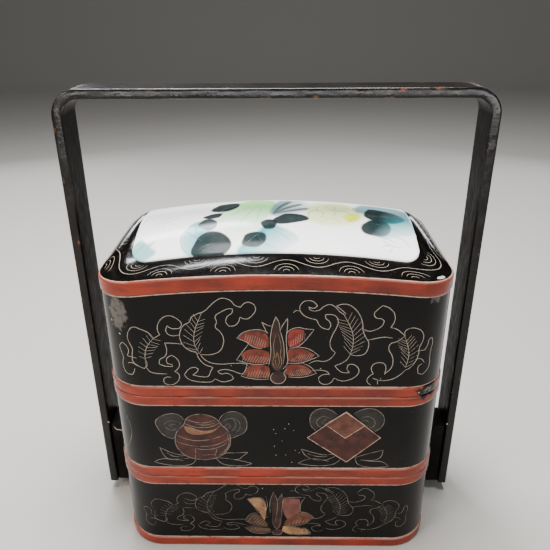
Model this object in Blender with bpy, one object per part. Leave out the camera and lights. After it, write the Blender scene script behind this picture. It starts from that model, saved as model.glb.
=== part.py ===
"""Lacquer stacking lunch box: three tiers and an arched lid between the legs of a tall strap handle.

Units are metres, +Z is up and the front looks along -Y. The origin lies under the middle of the box,
on the surface that it stands on. Every tier ends in an inner lip, and the piece above it is rebated
to drop over that lip. The top tier's rim and the lid follow one arch from left to right.
"""

import math

import bmesh
import bpy

# Plan of the box, over its raised bands
BOX_WIDTH = 0.210
BOX_DEPTH = 0.131
CORNER_RADIUS = 0.026
WALL = 0.006
FLOOR = 0.004

# Heights of the tiers and of the lid's band, all at the corners
BOTTOM_TIER_HEIGHT = 0.0625
MIDDLE_TIER_HEIGHT = 0.0635
TOP_TIER_HEIGHT = 0.0655
ARCH_RISE = 0.007

# Red bands: how far they stand out, how high they are and how much their edges are eased
BAND_RELIEF = 0.0007
FOOT_BAND = 0.007
RIM_BAND = 0.0065
LID_BAND = 0.009
EASE = 0.0012

# Lips, and the play that lets one piece drop over the next
LIP_HEIGHT = 0.004
LIP_THICKNESS = 0.0027
LIP_CLEARANCE = 0.0004
REST_GAP = 0.0003

# Lid border and the porcelain panel set in it
PANEL_WIDTH = 0.170
PANEL_DEPTH = 0.091
PANEL_RADIUS = 0.010
PANEL_THICKNESS = 0.004
PANEL_TOP = 0.2262
PANEL_FALL_ACROSS = 0.007
PANEL_FALL_DEEP = 0.013
PANEL_PROUD = 0.0004
PANEL_SEAT_GAP = 0.0005
LID_TOP_THICKNESS = 0.0035
BORDER_SWELL = 1.5

# Handle: one strap bent to a U, its legs fixed to the bottom tier through two blocks
HANDLE_HEIGHT = 0.300
HANDLE_WIDTH = 0.260
STRAP_WIDTH = 0.026
STRAP_THICKNESS = 0.006
HANDLE_RADIUS = 0.016
STRAP_EASE = 0.0012
LEG_FOOT = 0.0075
BLOCK_WIDTH = 0.022
BLOCK_DROP = 0.0015

# How finely curves are cut into flats
CORNER_STEPS = 6
ARCH_STEPS = 12
SIDE_STEPS = 4
BORDER_STEPS = 4
DISC_STEPS = 6
HANDLE_STEPS = 8

SEAM_1 = BOTTOM_TIER_HEIGHT
SEAM_2 = SEAM_1 + MIDDLE_TIER_HEIGHT
SEAM_3 = SEAM_2 + TOP_TIER_HEIGHT


def clear_scene():
    for item in list(bpy.data.objects):
        bpy.data.objects.remove(item, do_unlink=True)


def lacquer(name, colour, roughness, coat=0.0):
    """A Principled material for one finish of the real object."""
    material = bpy.data.materials.new(name)
    material.use_nodes = True
    shader = material.node_tree.nodes["Principled BSDF"]
    shader.inputs["Base Color"].default_value = (*colour, 1.0)
    shader.inputs["Roughness"].default_value = roughness
    shader.inputs["Metallic"].default_value = 0.0
    shader.inputs["Coat Weight"].default_value = coat
    material.diffuse_color = (*colour, 1.0)
    return material


def outline(width, depth, radius, long_steps, side_steps):
    """Points of a rounded rectangle about the origin, anticlockwise from the right side's front end."""
    half_x = width / 2 - radius
    half_y = depth / 2 - radius
    corners = ((half_x, half_y, 0), (-half_x, half_y, 90), (-half_x, -half_y, 180), (half_x, -half_y, 270))
    runs = (long_steps, side_steps, long_steps, side_steps)
    points = []
    for number, (x, y, start) in enumerate(corners):
        for step in range(CORNER_STEPS + 1):
            angle = math.radians(start + 90 * step / CORNER_STEPS)
            points.append((x + radius * math.cos(angle), y + radius * math.sin(angle)))
        ahead_x, ahead_y, turn = corners[(number + 1) % 4]
        angle = math.radians(turn)
        end = (ahead_x + radius * math.cos(angle), ahead_y + radius * math.sin(angle))
        begin = points[-1]
        for step in range(1, runs[number]):
            share = step / runs[number]
            points.append((begin[0] + share * (end[0] - begin[0]), begin[1] + share * (end[1] - begin[1])))
    return points


def inset_outline(inset, arched):
    """The box's plan drawn in by an inset, with steps along the front where the arch bends it."""
    long_steps = ARCH_STEPS if arched else 1
    side_steps = SIDE_STEPS if arched else 1
    return outline(BOX_WIDTH - 2 * inset, BOX_DEPTH - 2 * inset, CORNER_RADIUS - inset, long_steps, side_steps)


def arch(x):
    """How far the arched rim stands above its corners at x."""
    return ARCH_RISE * (1 - (2 * x / BOX_WIDTH) ** 2)


def panel_height(x, y):
    """The porcelain's top surface: it falls away from its middle both ways."""
    across = (2 * x / PANEL_WIDTH) ** 2
    deep = (2 * y / PANEL_DEPTH) ** 2
    return PANEL_TOP - PANEL_FALL_ACROSS * across - PANEL_FALL_DEEP * deep


def level(points, height):
    return [(x, y, height) for x, y in points]


def arched(points, height):
    return [(x, y, height + arch(x)) for x, y in points]


def shrunk(points, share):
    return [(x * share, y * share) for x, y in points]


def shell(name, loops, material):
    """One closed solid from loops of equal length, each joined to the next and both ends filled."""
    mesh = bmesh.new()
    rims = [[mesh.verts.new(point) for point in points] for points in loops]
    for lower, upper in zip(rims, rims[1:]):
        for here, there in zip(range(len(lower)), (*range(1, len(lower)), 0)):
            mesh.faces.new((lower[here], lower[there], upper[there], upper[here]))
    mesh.faces.new(rims[0][::-1])
    mesh.faces.new(rims[-1])
    bmesh.ops.recalc_face_normals(mesh, faces=mesh.faces)
    data = bpy.data.meshes.new(name)
    mesh.to_mesh(data)
    mesh.free()
    return place(name, data, material)


def place(name, data, material):
    data.materials.append(material)
    data.shade_smooth()
    data.set_sharp_from_angle(angle=math.radians(30))
    item = bpy.data.objects.new(name, data)
    bpy.context.scene.collection.objects.link(item)
    return item


def band_profile(low, high):
    """Insets and heights up the outside of a red band, with both of its edges eased."""
    return [
        (BAND_RELIEF, low),
        (0.0, low + EASE),
        (0.0, high - EASE),
        (BAND_RELIEF, high),
    ]


def tier(name, foot, height, sits_on_lip, rim_band, arched_rim, material):
    """A hollow tier: floor, wall, bands and the lip that the next piece drops over."""
    rim = foot + height
    base = foot + REST_GAP if sits_on_lip else foot
    rebate = WALL - LIP_THICKNESS - LIP_CLEARANCE
    under = foot + LIP_HEIGHT + LIP_CLEARANCE if sits_on_lip else foot
    band_low = band_profile(base, foot + FOOT_BAND)

    # Each entry is (inset, height, follows the arch)
    profile = []
    if sits_on_lip:
        profile.append((rebate, under, False))
        profile.append((rebate, base, False))
    profile += [(inset, z, False) for inset, z in band_low]
    if rim_band:
        profile += [(inset, z, arched_rim) for inset, z in band_profile(rim - RIM_BAND, rim)]
    else:
        profile.append((BAND_RELIEF, rim, arched_rim))
    shoulder = WALL - LIP_THICKNESS
    profile.append((shoulder, rim, arched_rim))
    profile.append((shoulder, rim + LIP_HEIGHT, arched_rim))
    profile.append((WALL, rim + LIP_HEIGHT, arched_rim))
    profile.append((WALL, under + FLOOR, False))

    loops = []
    for inset, z, follows in profile:
        points = inset_outline(inset, arched_rim)
        loops.append(arched(points, z) if follows else level(points, z))
    return shell(name, loops, material)


def panel_outline(grow):
    return outline(PANEL_WIDTH + 2 * grow, PANEL_DEPTH + 2 * grow, PANEL_RADIUS + grow, ARCH_STEPS, SIDE_STEPS)


def panel_surface(points, drop):
    return [(x, y, panel_height(x, y) - drop) for x, y in points]


def lid(material):
    """The arched lid: rebated skirt, red band, swelling border, seat for the porcelain, hollow below."""
    seam = SEAM_3 + REST_GAP
    rebate = WALL - LIP_THICKNESS - LIP_CLEARANCE
    loops = []
    sink = PANEL_THICKNESS + PANEL_SEAT_GAP
    ceiling = sink + LID_TOP_THICKNESS

    # Underside, from the middle of the ceiling outwards and down the inner wall
    for step in range(1, DISC_STEPS + 1):
        loops.append(panel_surface(shrunk(panel_outline(0.0), step / DISC_STEPS), ceiling))
    shoulder = SEAM_3 + LIP_HEIGHT + LIP_CLEARANCE
    loops.append(arched(inset_outline(WALL, True), shoulder + EASE))
    loops.append(arched(inset_outline(WALL, True), shoulder))
    loops.append(arched(inset_outline(rebate, True), shoulder))
    loops.append(arched(inset_outline(rebate, True), seam))

    # Red band
    for inset, z in band_profile(seam, SEAM_3 + LID_BAND)[:3]:
        loops.append(arched(inset_outline(inset, True), z))

    # Border, from the band up to the edge of the porcelain
    outer = inset_outline(BAND_RELIEF, True)
    inner = panel_outline(REST_GAP)
    for step in range(BORDER_STEPS + 1):
        share = step / BORDER_STEPS
        climb = 1 - (1 - share) ** BORDER_SWELL
        points = []
        for (ax, ay), (bx, by) in zip(outer, inner):
            low = SEAM_3 + LID_BAND + arch(ax)
            high = panel_height(bx, by) - PANEL_PROUD
            points.append((ax + share * (bx - ax), ay + share * (by - ay), low + climb * (high - low)))
        loops.append(points)

    # Seat for the porcelain
    for step in range(DISC_STEPS, 0, -1):
        loops.append(panel_surface(shrunk(inner, step / DISC_STEPS), sink))
    return shell("lid", loops, material)


def porcelain_panel(material):
    """The glazed porcelain plate, domed both ways and of one thickness."""
    plan = panel_outline(0.0)
    loops = [panel_surface(shrunk(plan, step / DISC_STEPS), PANEL_THICKNESS) for step in range(1, DISC_STEPS + 1)]
    loops.append(panel_surface(plan, EASE))
    rim = panel_outline(-EASE / 2)
    loops.append(panel_surface(rim, 0.0))
    loops += [panel_surface(shrunk(rim, step / DISC_STEPS), 0.0) for step in range(DISC_STEPS - 1, 0, -1)]
    return shell("porcelain_panel", loops, material)


def u_path(inset):
    """The strap's line seen from the front, from the left foot over the top to the right foot."""
    half = HANDLE_WIDTH / 2 - inset
    top = HANDLE_HEIGHT - inset
    radius = HANDLE_RADIUS - inset
    points = [(-half, LEG_FOOT)]
    for start, x in ((180, -half + radius), (90, half - radius)):
        for step in range(HANDLE_STEPS + 1):
            angle = math.radians(start - 90 * step / HANDLE_STEPS)
            points.append((x + radius * math.cos(angle), top - radius + radius * math.sin(angle)))
    points.append((half, LEG_FOOT))
    return points


def handle(material):
    """The flat strap, drawn as one U-shaped face, pushed to its width and eased along its edges."""
    outer = u_path(0.0)
    inner = u_path(STRAP_THICKNESS)
    mesh = bmesh.new()
    rims = []
    for path in (outer, inner):
        corners = [mesh.verts.new((x, -STRAP_WIDTH / 2, z)) for x, z in path]
        rims.append([mesh.edges.new(pair) for pair in zip(corners, corners[1:])])
    bmesh.ops.bridge_loops(mesh, edges=rims[0] + rims[1])
    swept = bmesh.ops.extrude_face_region(mesh, geom=mesh.faces[:])
    moved = [item for item in swept["geom"] if isinstance(item, bmesh.types.BMVert)]
    bmesh.ops.translate(mesh, verts=moved, vec=(0, STRAP_WIDTH, 0))
    bmesh.ops.recalc_face_normals(mesh, faces=mesh.faces)
    edges = [edge for edge in mesh.edges if edge.calc_face_angle(0.0) > math.radians(60)]
    bmesh.ops.bevel(mesh, geom=edges, offset=STRAP_EASE, segments=2, profile=0.5, affect="EDGES")
    data = bpy.data.meshes.new("handle")
    mesh.to_mesh(data)
    mesh.free()
    return place("handle", data, material)


def handle_block(name, side, material):
    """The block that fills the gap between a leg and the bottom tier."""
    near = BOX_WIDTH / 2 + REST_GAP
    far = HANDLE_WIDTH / 2 - STRAP_THICKNESS - REST_GAP
    top = SEAM_1 - BLOCK_DROP
    mesh = bmesh.new()
    bmesh.ops.create_cube(mesh, size=1.0)
    bmesh.ops.scale(mesh, verts=mesh.verts, vec=(far - near, BLOCK_WIDTH, top - LEG_FOOT))
    middle = (side * (near + far) / 2, 0, (top + LEG_FOOT) / 2)
    bmesh.ops.translate(mesh, verts=mesh.verts, vec=middle)
    bmesh.ops.bevel(mesh, geom=mesh.edges[:], offset=EASE / 2, segments=1, affect="EDGES")
    data = bpy.data.meshes.new(name)
    mesh.to_mesh(data)
    mesh.free()
    return place(name, data, material)


def main():
    clear_scene()
    black = lacquer("black_lacquer", (0.011, 0.009, 0.008), 0.22, 0.5)
    handle_black = lacquer("handle_lacquer", (0.014, 0.011, 0.010), 0.3, 0.4)
    glaze = lacquer("porcelain_glaze", (0.80, 0.84, 0.82), 0.08, 0.6)

    tier("bottom_tier", 0.0, BOTTOM_TIER_HEIGHT, False, True, False, black)
    tier("middle_tier", SEAM_1, MIDDLE_TIER_HEIGHT, True, True, False, black)
    tier("top_tier", SEAM_2, TOP_TIER_HEIGHT, True, False, True, black)
    lid(black)
    porcelain_panel(glaze)
    handle(handle_black)
    handle_block("left_block", -1, handle_black)
    handle_block("right_block", 1, handle_black)


main()
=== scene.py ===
# %% [markdown]
# # A black lacquer lunch box with a porcelain lid
# The object is a stack of three wooden tiers under an arched lid, carried by one tall bent strap.
# Every surface is lacquer, apart from the painted porcelain plate that is set into the lid.
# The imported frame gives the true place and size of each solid. This lesson dresses it.

import math
import random

import bmesh
import bpy
import numpy as np
from mathutils import Matrix, Vector, noise

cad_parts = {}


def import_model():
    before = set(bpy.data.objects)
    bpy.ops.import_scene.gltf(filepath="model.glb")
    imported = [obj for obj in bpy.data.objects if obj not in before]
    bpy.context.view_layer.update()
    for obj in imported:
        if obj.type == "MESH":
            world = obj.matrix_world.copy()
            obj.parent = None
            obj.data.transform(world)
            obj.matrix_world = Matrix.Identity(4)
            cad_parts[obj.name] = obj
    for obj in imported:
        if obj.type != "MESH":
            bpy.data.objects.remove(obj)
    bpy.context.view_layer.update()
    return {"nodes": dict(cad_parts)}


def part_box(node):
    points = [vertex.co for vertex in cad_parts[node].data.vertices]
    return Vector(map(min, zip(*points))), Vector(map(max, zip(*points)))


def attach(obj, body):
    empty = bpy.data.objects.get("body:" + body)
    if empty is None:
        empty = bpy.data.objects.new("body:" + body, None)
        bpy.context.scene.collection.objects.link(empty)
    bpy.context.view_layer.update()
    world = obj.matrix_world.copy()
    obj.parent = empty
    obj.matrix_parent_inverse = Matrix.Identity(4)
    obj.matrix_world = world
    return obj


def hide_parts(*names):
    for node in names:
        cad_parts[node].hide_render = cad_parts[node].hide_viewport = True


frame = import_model()
MM = 0.001
print("frame nodes:", sorted(frame["nodes"]))

# %% [markdown]
# The sizes come from the frame where a node shows them. The rest are the maker's own: how far the red
# bands stand out, how thick the wall is and how the porcelain falls away from its middle.

# %% Sizes
REST_GAP = 0.3 * MM
LIP_HEIGHT = 4.0 * MM
LIP_THICKNESS = 2.7 * MM
LIP_CLEARANCE = 0.4 * MM
WALL = 6.0 * MM
FLOOR = 4.0 * MM
REBATE = WALL - LIP_THICKNESS - LIP_CLEARANCE
RELIEF = 0.7 * MM
FOOT_BAND = 7.0 * MM
RIM_BAND = 6.5 * MM
LID_BAND = 9.0 * MM
TOP_TIER_HEIGHT = 65.5 * MM
EASE = 1.2 * MM
RADIUS = 26.0 * MM
ARCH_RISE = 7.0 * MM
PANEL_RADIUS = 10.0 * MM
PANEL_THICKNESS = 4.0 * MM
PANEL_TOP = 226.2 * MM
FALL_ACROSS = 7.0 * MM
FALL_DEEP = 13.0 * MM
BORDER_SWELL = 1.5
BORDER_SINK = 0.4 * MM
GILT_LINE = 0.7 * MM

low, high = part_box("middle_tier")
BOX_WIDTH = high[0] - low[0]
BOX_DEPTH = high[1] - low[1]
SEAM_1 = low[2] - REST_GAP
SEAM_2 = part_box("top_tier")[0][2] - REST_GAP
SEAM_3 = SEAM_2 + TOP_TIER_HEIGHT
low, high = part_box("porcelain_panel")
PANEL_WIDTH = high[0] - low[0]
PANEL_DEPTH = high[1] - low[1]

BOX = (BOX_WIDTH, BOX_DEPTH, RADIUS)
FACE = (BOX_WIDTH - 2 * RELIEF, BOX_DEPTH - 2 * RELIEF, RADIUS - RELIEF)
PANEL = (PANEL_WIDTH, PANEL_DEPTH, PANEL_RADIUS)
print("box mm:", [round(1000 * side, 1) for side in BOX], "seams mm:",
      [round(1000 * z, 1) for z in (SEAM_1, SEAM_2, SEAM_3)])

# %% [markdown]
# ## Finishes
# Colours are written as a painter would note them, in sRGB hex, and turned linear once. One function
# adds a node, fills its sockets and links what feeds it, so that each finish reads as a short recipe.

# %% Helpers for materials
def linear(code):
    """An sRGB hex colour as linear red, green, blue and alpha."""
    parts = [int(code[place:place + 2], 16) / 255 for place in (1, 3, 5)]
    return (*[part / 12.92 if part <= 0.04045 else ((part + 0.055) / 1.055) ** 2.4 for part in parts], 1.0)


def add(tree, kind, settings=None, links=None):
    """One node with its settings and links. A whole number names a socket by its place."""
    made = tree.nodes.new("ShaderNode" + kind)
    for name, value in (settings or {}).items():
        if isinstance(name, str) and hasattr(made, name):
            setattr(made, name, value)
        else:
            made.inputs[name].default_value = value
    for name, source in (links or {}).items():
        tree.links.new(source, made.inputs[name])
    return made


def start(name, roughness, shine=0.3):
    """A new Principled material, with the place on the object that its patterns read."""
    material = bpy.data.materials.new(name)
    material.use_nodes = True
    tree = material.node_tree
    shader = tree.nodes["Principled BSDF"]
    shader.inputs["Roughness"].default_value = roughness
    shader.inputs["IOR"].default_value = 1.45
    shader.inputs["Specular IOR Level"].default_value = shine
    place = add(tree, "TexCoord").outputs["Object"]
    return material, tree, shader, place


def threshold(tree, source, low_end, high_end, to_low=0.0, to_high=1.0):
    """A pattern's value cut to a soft step."""
    settings = {"From Min": low_end, "From Max": high_end, "To Min": to_low, "To Max": to_high}
    return add(tree, "MapRange", settings, {"Value": source}).outputs["Result"]


def blend(tree, factor, first, second):
    """Two colours mixed by a pattern. Each is a hex code or another node's output."""
    settings = {"data_type": "RGBA"}
    links = {0: factor}
    for socket, colour in ((6, first), (7, second)):
        if isinstance(colour, str):
            settings[socket] = linear(colour)
        else:
            links[socket] = colour
    return add(tree, "Mix", settings, links).outputs[2]


def product(tree, first, second):
    return add(tree, "Math", {"operation": "MULTIPLY"}, {0: first, 1: second}).outputs[0]


def total(tree, first, second):
    return add(tree, "Math", {"operation": "ADD"}, {0: first, 1: second}).outputs[0]


def grain(tree, place, size_mm, detail=4.0, roughness=0.55):
    """Noise whose largest spots are about size_mm across."""
    settings = {"Scale": 1000.0 / size_mm, "Detail": detail, "Roughness": roughness}
    return add(tree, "TexNoise", settings, {"Vector": place}).outputs["Fac"]


def stretched(tree, place, scale):
    """The place with its axes scaled, so that a pattern on it is drawn out along the small ones."""
    return add(tree, "Mapping", {"Scale": scale}, {"Vector": place}).outputs["Vector"]


def swell(tree, place, strength, depth, size_mm, detail):
    """A faint unevenness of the surface, as the normal that a shader reads."""
    settings = {"Strength": strength, "Distance": depth}
    return add(tree, "Bump", settings, {"Height": grain(tree, place, size_mm, detail)}).outputs["Normal"]


def feed(tree, shader, sources):
    """Link patterns to the shader's sockets by name."""
    for socket, source in sources.items():
        tree.links.new(source, shader.inputs[socket])


def ragged_spot(tree, place, centre, reach):
    """1 around a point and 0 beyond its reach, both in millimetres, with a ragged edge."""
    settings = {"Location": [-middle / size for middle, size in zip(centre, reach)],
                "Scale": [1000.0 / size for size in reach]}
    shifted = add(tree, "Mapping", settings, {"Vector": place}).outputs["Vector"]
    away = add(tree, "VectorMath", {"operation": "LENGTH"}, {0: shifted}).outputs["Value"]
    ragged = threshold(tree, grain(tree, place, 5, 6, 0.65), 0.3, 0.7, -0.4, 0.4)
    return threshold(tree, total(tree, away, ragged), 0.72, 0.92, 1.0, 0.0)


print("linear mid grey:", round(linear("#808080")[0], 3))

# %% [markdown]
# Black lacquer is many thin brushed coats, rubbed back and polished. It gives the eye a deep warm
# black with clear reflections. Years of use leave a brown haze, a faint orange-peel swell a few
# millimetres across and pin-prick specks where dust was trapped. On the high corners a ragged grey
# patch is painted in as a reflection of the light.

# %% Black lacquer
# Painted reflections: ragged grey patches on the two high corners of the top tier, where the gloss mirrors
# the light.
PAINTED_CORNER_REFLECTIONS = [((-90.8, -62.6, 182), (7, 12, 11)), ((91.5, -62.6, 194), (4.6, 8, 5.4))]
PAINTED_REFLECTION_GREY = "#57534f"
DUST = "#6b6058"


def polished_black_lacquer(name, body, haze, gloss, dull):
    material, tree, shader, place = start(name, gloss, shine=0.2)
    cloud = grain(tree, place, 38, 5)
    fine = grain(tree, place, 3.0, 6)
    speck = threshold(tree, grain(tree, place, 0.9, 2), 0.70, 0.76)
    colour = blend(tree, threshold(tree, cloud, 0.42, 0.75), body, haze)
    colour = blend(tree, product(tree, speck, threshold(tree, cloud, 0.45, 0.6)), colour, DUST)
    # Paint the grey corner reflections in, broken up by fine noise.
    for centre, reach in PAINTED_CORNER_REFLECTIONS:
        corner_reflection = product(tree, ragged_spot(tree, place, centre, reach), threshold(tree, fine, 0.2, 0.5))
        colour = blend(tree, corner_reflection, colour, PAINTED_REFLECTION_GREY)
    rough = threshold(tree, total(tree, cloud, fine), 0.75, 1.3, gloss, dull)
    normal = swell(tree, place, 0.12, 0.0006, 7, 2)
    feed(tree, shader, {"Base Color": colour, "Roughness": rough, "Normal": normal})
    return material


black_lacquer = polished_black_lacquer("black_lacquer_polished", "#060504", "#0e0b09", 0.10, 0.22)
print(black_lacquer.name, "with", len(PAINTED_CORNER_REFLECTIONS), "painted_corner_reflections")

# %% [markdown]
# The bands are red lacquer over the same ground. Their upper edges carry a pale pinkish line, partly
# rubbed by hands and partly a painted highlight. The attribute named rub is 1 along that edge and 0
# on the face of the band, and a noise breaks it up, because wear is never an even line. At the right
# corner of the upper joint a near-black patch is partly red worn away and partly painted shade.

# %% Red lacquer
# A near-black patch where the upper joint's band turns the right corner: partly red worn away, partly painted
# shade.
WORN_AND_SHADED_CENTRE = (93, -62, 129)
WORN_AND_SHADED_REACH = (9.5, 12, 6.2)


def rubbed_and_highlit_red_lacquer(name):
    material, tree, shader, place = start(name, 0.22)
    rub = add(tree, "Attribute", {"attribute_name": "rub"}).outputs["Fac"]
    cloud = grain(tree, place, 30, 4, 0.5)
    streak = grain(tree, stretched(tree, place, (0.2, 0.2, 1.0)), 3.5, 4, 0.5)
    colour = blend(tree, threshold(tree, cloud, 0.36, 0.66), "#8a3221", "#5f241b")
    colour = blend(tree, threshold(tree, streak, 0.46, 0.75, 0.0, 0.7), colour, "#4f211a")
    # The pale line on the band's upper edge: partly rubbed wear, partly a painted highlight.
    worn = product(tree, rub, threshold(tree, grain(tree, place, 30, 5, 0.6), 0.38, 0.60))
    colour = blend(tree, worn, colour, "#b5806b")
    nick = threshold(tree, grain(tree, place, 2.2, 3), 0.74, 0.78)
    colour = blend(tree, nick, colour, "#c07a60")
    # The near-black patch at the joint's right corner: partly worn red, partly painted shade.
    colour = blend(tree, ragged_spot(tree, place, WORN_AND_SHADED_CENTRE, WORN_AND_SHADED_REACH), colour, "#0d0907")
    rough = threshold(tree, streak, 0.3, 0.75, 0.16, 0.34)
    normal = swell(tree, place, 0.15, 0.0005, 6, 3)
    feed(tree, shader, {"Base Color": colour, "Roughness": rough, "Normal": normal})
    return material


red_lacquer = rubbed_and_highlit_red_lacquer("red_lacquer_rubbed_and_highlit")
print(red_lacquer.name, "nodes:", len(red_lacquer.node_tree.nodes))

# %% [markdown]
# The drawn lines are cut into the black with a needle and filled with a pale powder bound in
# lacquer. That gives a thin matt line, greyer where the filling has fallen out, so the paint mixes
# to near black in patches. The petals and emblems are filled with earth reds and a dull gold.

# %% Filled lines and coloured fillings
def filled_line(name, pale, lost, keep=0.5):
    material, tree, shader, place = start(name, 0.55)
    gone = threshold(tree, grain(tree, place, 5, 6, 0.7), keep, keep + 0.16)
    tree.links.new(blend(tree, gone, pale, lost), shader.inputs["Base Color"])
    return material


def clouded_filling(name, body, light, dark, keep=0.50):
    """A colour rubbed into shallow cuts, lighter in clouds and worn to the dark ground in places."""
    material, tree, shader, place = start(name, 0.38)
    colour = blend(tree, threshold(tree, grain(tree, place, 7, 3, 0.5), 0.42, 0.66), body, light)
    colour = blend(tree, threshold(tree, grain(tree, place, 5, 6, 0.7), keep, keep + 0.16), colour, dark)
    tree.links.new(colour, shader.inputs["Base Color"])
    return material


cream_line = filled_line("cream_filling", "#958a7e", "#453c35", 0.54)
edge_line = filled_line("band_edge_line", "#a5877a", "#5a3a30", 0.50)
worn_line = filled_line("worn_cream_filling", "#766d63", "#2a2521", 0.48)
faint_line = filled_line("faint_cream_filling", "#655d55", "#1e1a17", 0.45)
gold_line = filled_line("worn_gold_filling", "#a0825c", "#4c3322", 0.50)
petal_red = clouded_filling("petal_earth_red", "#5b2519", "#733324", "#2b140e", 0.50)
petal_bright = clouded_filling("petal_bright_red", "#66201a", "#7c2b24", "#391510", 0.52)
petal_brown = clouded_filling("petal_umber", "#3a2721", "#523c31", "#1c1210", 0.50)
petal_mauve = clouded_filling("petal_mauve", "#553029", "#6b4039", "#2c1815", 0.54)
bud_brown = clouded_filling("bud_dark_brown", "#241410", "#38201a", "#120b09", 0.50)
emblem_red = clouded_filling("emblem_red_brown", "#2d1511", "#43201a", "#180d0b", 0.52)
emblem_tan = clouded_filling("emblem_tan", "#48251d", "#5c3b2d", "#2c1813", 0.54)
emblem_gold = clouded_filling("emblem_dull_gold", "#71523a", "#957352", "#43291d", 0.50)
ribbon_grey = clouded_filling("ribbon_grey", "#1c1a18", "#282522", "#110f0e", 0.50)
bare_ground = clouded_filling("bare_ground_chip", "#a39a8d", "#c4bcae", "#6c6257", 0.52)
print("finishes:", len(bpy.data.materials))

# %% [markdown]
# ## The plan
# Every ring of the box is one rounded rectangle, drawn in by an inset. Each vertex remembers two
# things: how far along the straight part of the plan it is, and which way it looks. A ring can then
# be set out again at any inset or blended towards the smaller plan of the porcelain.

# %% A ring round the plan
FRONT_CUTS = 27
SIDE_CUTS = 9
CORNER_SEGMENTS = 14


def arch(x):
    """How far the arched rim stands above its corners."""
    return ARCH_RISE * (1 - (2 * x / BOX_WIDTH) ** 2)


def dome(x, y):
    """The porcelain's top surface."""
    return PANEL_TOP - FALL_ACROSS * (2 * x / PANEL_WIDTH) ** 2 - FALL_DEEP * (2 * y / PANEL_DEPTH) ** 2


def set_out(shape, along, aim, inset=0.0):
    """The point of a plan for its share along the straights and its aim."""
    width, depth, radius = shape
    x = along[0] * (width / 2 - radius) + aim[0] * (radius - inset)
    y = along[1] * (depth / 2 - radius) + aim[1] * (radius - inset)
    return x, y


def plan_ring(shape):
    """A rounded rectangle: a square stretched to the plan, its corners bevelled, its sides cut."""
    width, depth, radius = shape
    bm = bmesh.new()
    along = bm.verts.layers.float_vector.new("along")
    aim = bm.verts.layers.float_vector.new("aim")
    bm.verts.layers.float.new("rub")
    bmesh.ops.create_grid(bm, x_segments=1, y_segments=1, size=0.5)
    bmesh.ops.scale(bm, vec=(width, depth, 1), verts=bm.verts[:])
    bmesh.ops.bevel(bm, geom=bm.verts[:], offset=radius, offset_type="OFFSET", segments=CORNER_SEGMENTS,
                    profile=0.5, affect="VERTICES", material=-1)
    bmesh.ops.delete(bm, geom=bm.faces[:], context="FACES_ONLY")
    for cuts, way in ((FRONT_CUTS, 0), (SIDE_CUTS, 1)):
        spans = {edge: abs(edge.verts[0].co[way] - edge.verts[1].co[way]) for edge in bm.edges}
        longest = {edge for edge in bm.edges if edge.calc_length() > radius / 2}
        sides = [edge for edge, span in spans.items() if span > 2 * radius / 3 and edge in longest]
        bmesh.ops.subdivide_edges(bm, edges=sides, cuts=cuts)
    straight = (width / 2 - radius, depth / 2 - radius)
    for vert in bm.verts:
        near = [max(-1.0, min(1.0, vert.co[way] / straight[way])) for way in (0, 1)]
        bend_x, bend_y = near[0] * straight[0], near[1] * straight[1]
        look = Vector((vert.co.x - bend_x, vert.co.y - bend_y, 0)).normalized()
        vert[along] = (*near, 0)
        vert[aim] = look
    return bm


box_ring = plan_ring(BOX)
print("points in one ring of the box:", len(box_ring.verts))
box_ring.free()

# %% [markdown]
# A wall is made as a potter raises one: the newest rim of edges is extruded and set where a place
# function says. When the last rim is closed, the piece is shaded and told which body it rides on.

# %% From rings to a piece
def set_ring(bm, verts, where, rub):
    along = bm.verts.layers.float_vector["along"]
    aim = bm.verts.layers.float_vector["aim"]
    rubbed = bm.verts.layers.float["rub"]
    for vert in verts:
        vert.co = where(vert[along], vert[aim])
        vert[rubbed] = rub


def pick(items, kind):
    """The vertices, edges or faces among what an operator made."""
    return [item for item in items if isinstance(item, kind)]


def rim_of(verts):
    """The edges that join these vertices to one another."""
    fresh = set(verts)
    return [edge for edge in {edge for vert in verts for edge in vert.link_edges} if set(edge.verts) <= fresh]


def climb(bm, rim, where, finish=0, rub=0.0):
    """Extrude a rim of edges and set its new edge where a function says."""
    verts = pick(bmesh.ops.extrude_edge_only(bm, edges=rim)["geom"], bmesh.types.BMVert)
    for face in {face for vert in verts for face in vert.link_faces}:
        face.material_index = finish
    set_ring(bm, verts, where, rub)
    return rim_of(verts)


def ring(shape, inset, height, share=1.0):
    """A place function: a plan at an inset, at a height that may depend on x and y."""
    def where(along, aim):
        x, y = set_out(shape, along, aim, inset)
        x, y = x * share, y * share
        return x, y, height(x, y)
    return where


def level(z):
    return lambda x, y: z


def arched(z):
    return lambda x, y: z + arch(x)


def finish_piece(bm, name, materials, replaces=(), smooth=40):
    """Close the book on a piece: merge, turn faces out, shade it and let it ride on the body."""
    bmesh.ops.remove_doubles(bm, verts=bm.verts[:], dist=1e-7)
    bmesh.ops.recalc_face_normals(bm, faces=bm.faces[:])
    data = bpy.data.meshes.new(name)
    bm.to_mesh(data)
    bm.free()
    for layer in ("along", "aim"):
        if layer in data.attributes:
            data.attributes.remove(data.attributes[layer])
    for material in materials:
        data.materials.append(material)
    data.shade_smooth()
    data.set_sharp_from_angle(angle=math.radians(smooth))
    piece = bpy.data.objects.new(name, data)
    bpy.context.scene.collection.objects.link(piece)
    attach(piece, "root")
    if replaces:
        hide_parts(*replaces)
    print(name, "faces", len(data.polygons))
    return piece


# %% [markdown]
# ## The tiers
# A tier is a bent wooden wall on a floor. Its wall ends in a thin inner lip, and the next piece is
# rebated to drop over it. The mesh is one walk: from under the floor, out, up over the bands, across
# the rim, over the lip and down the inside. Red faces are bands, and a hair-thin gilt line parts
# each band from the black. The faces without a finish of their own stay black.

# %% Tiers
BOX_FINISHES = (black_lacquer, red_lacquer, edge_line)
RED, GILT = 1, 2
EDGE_STEPS = 4


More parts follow.
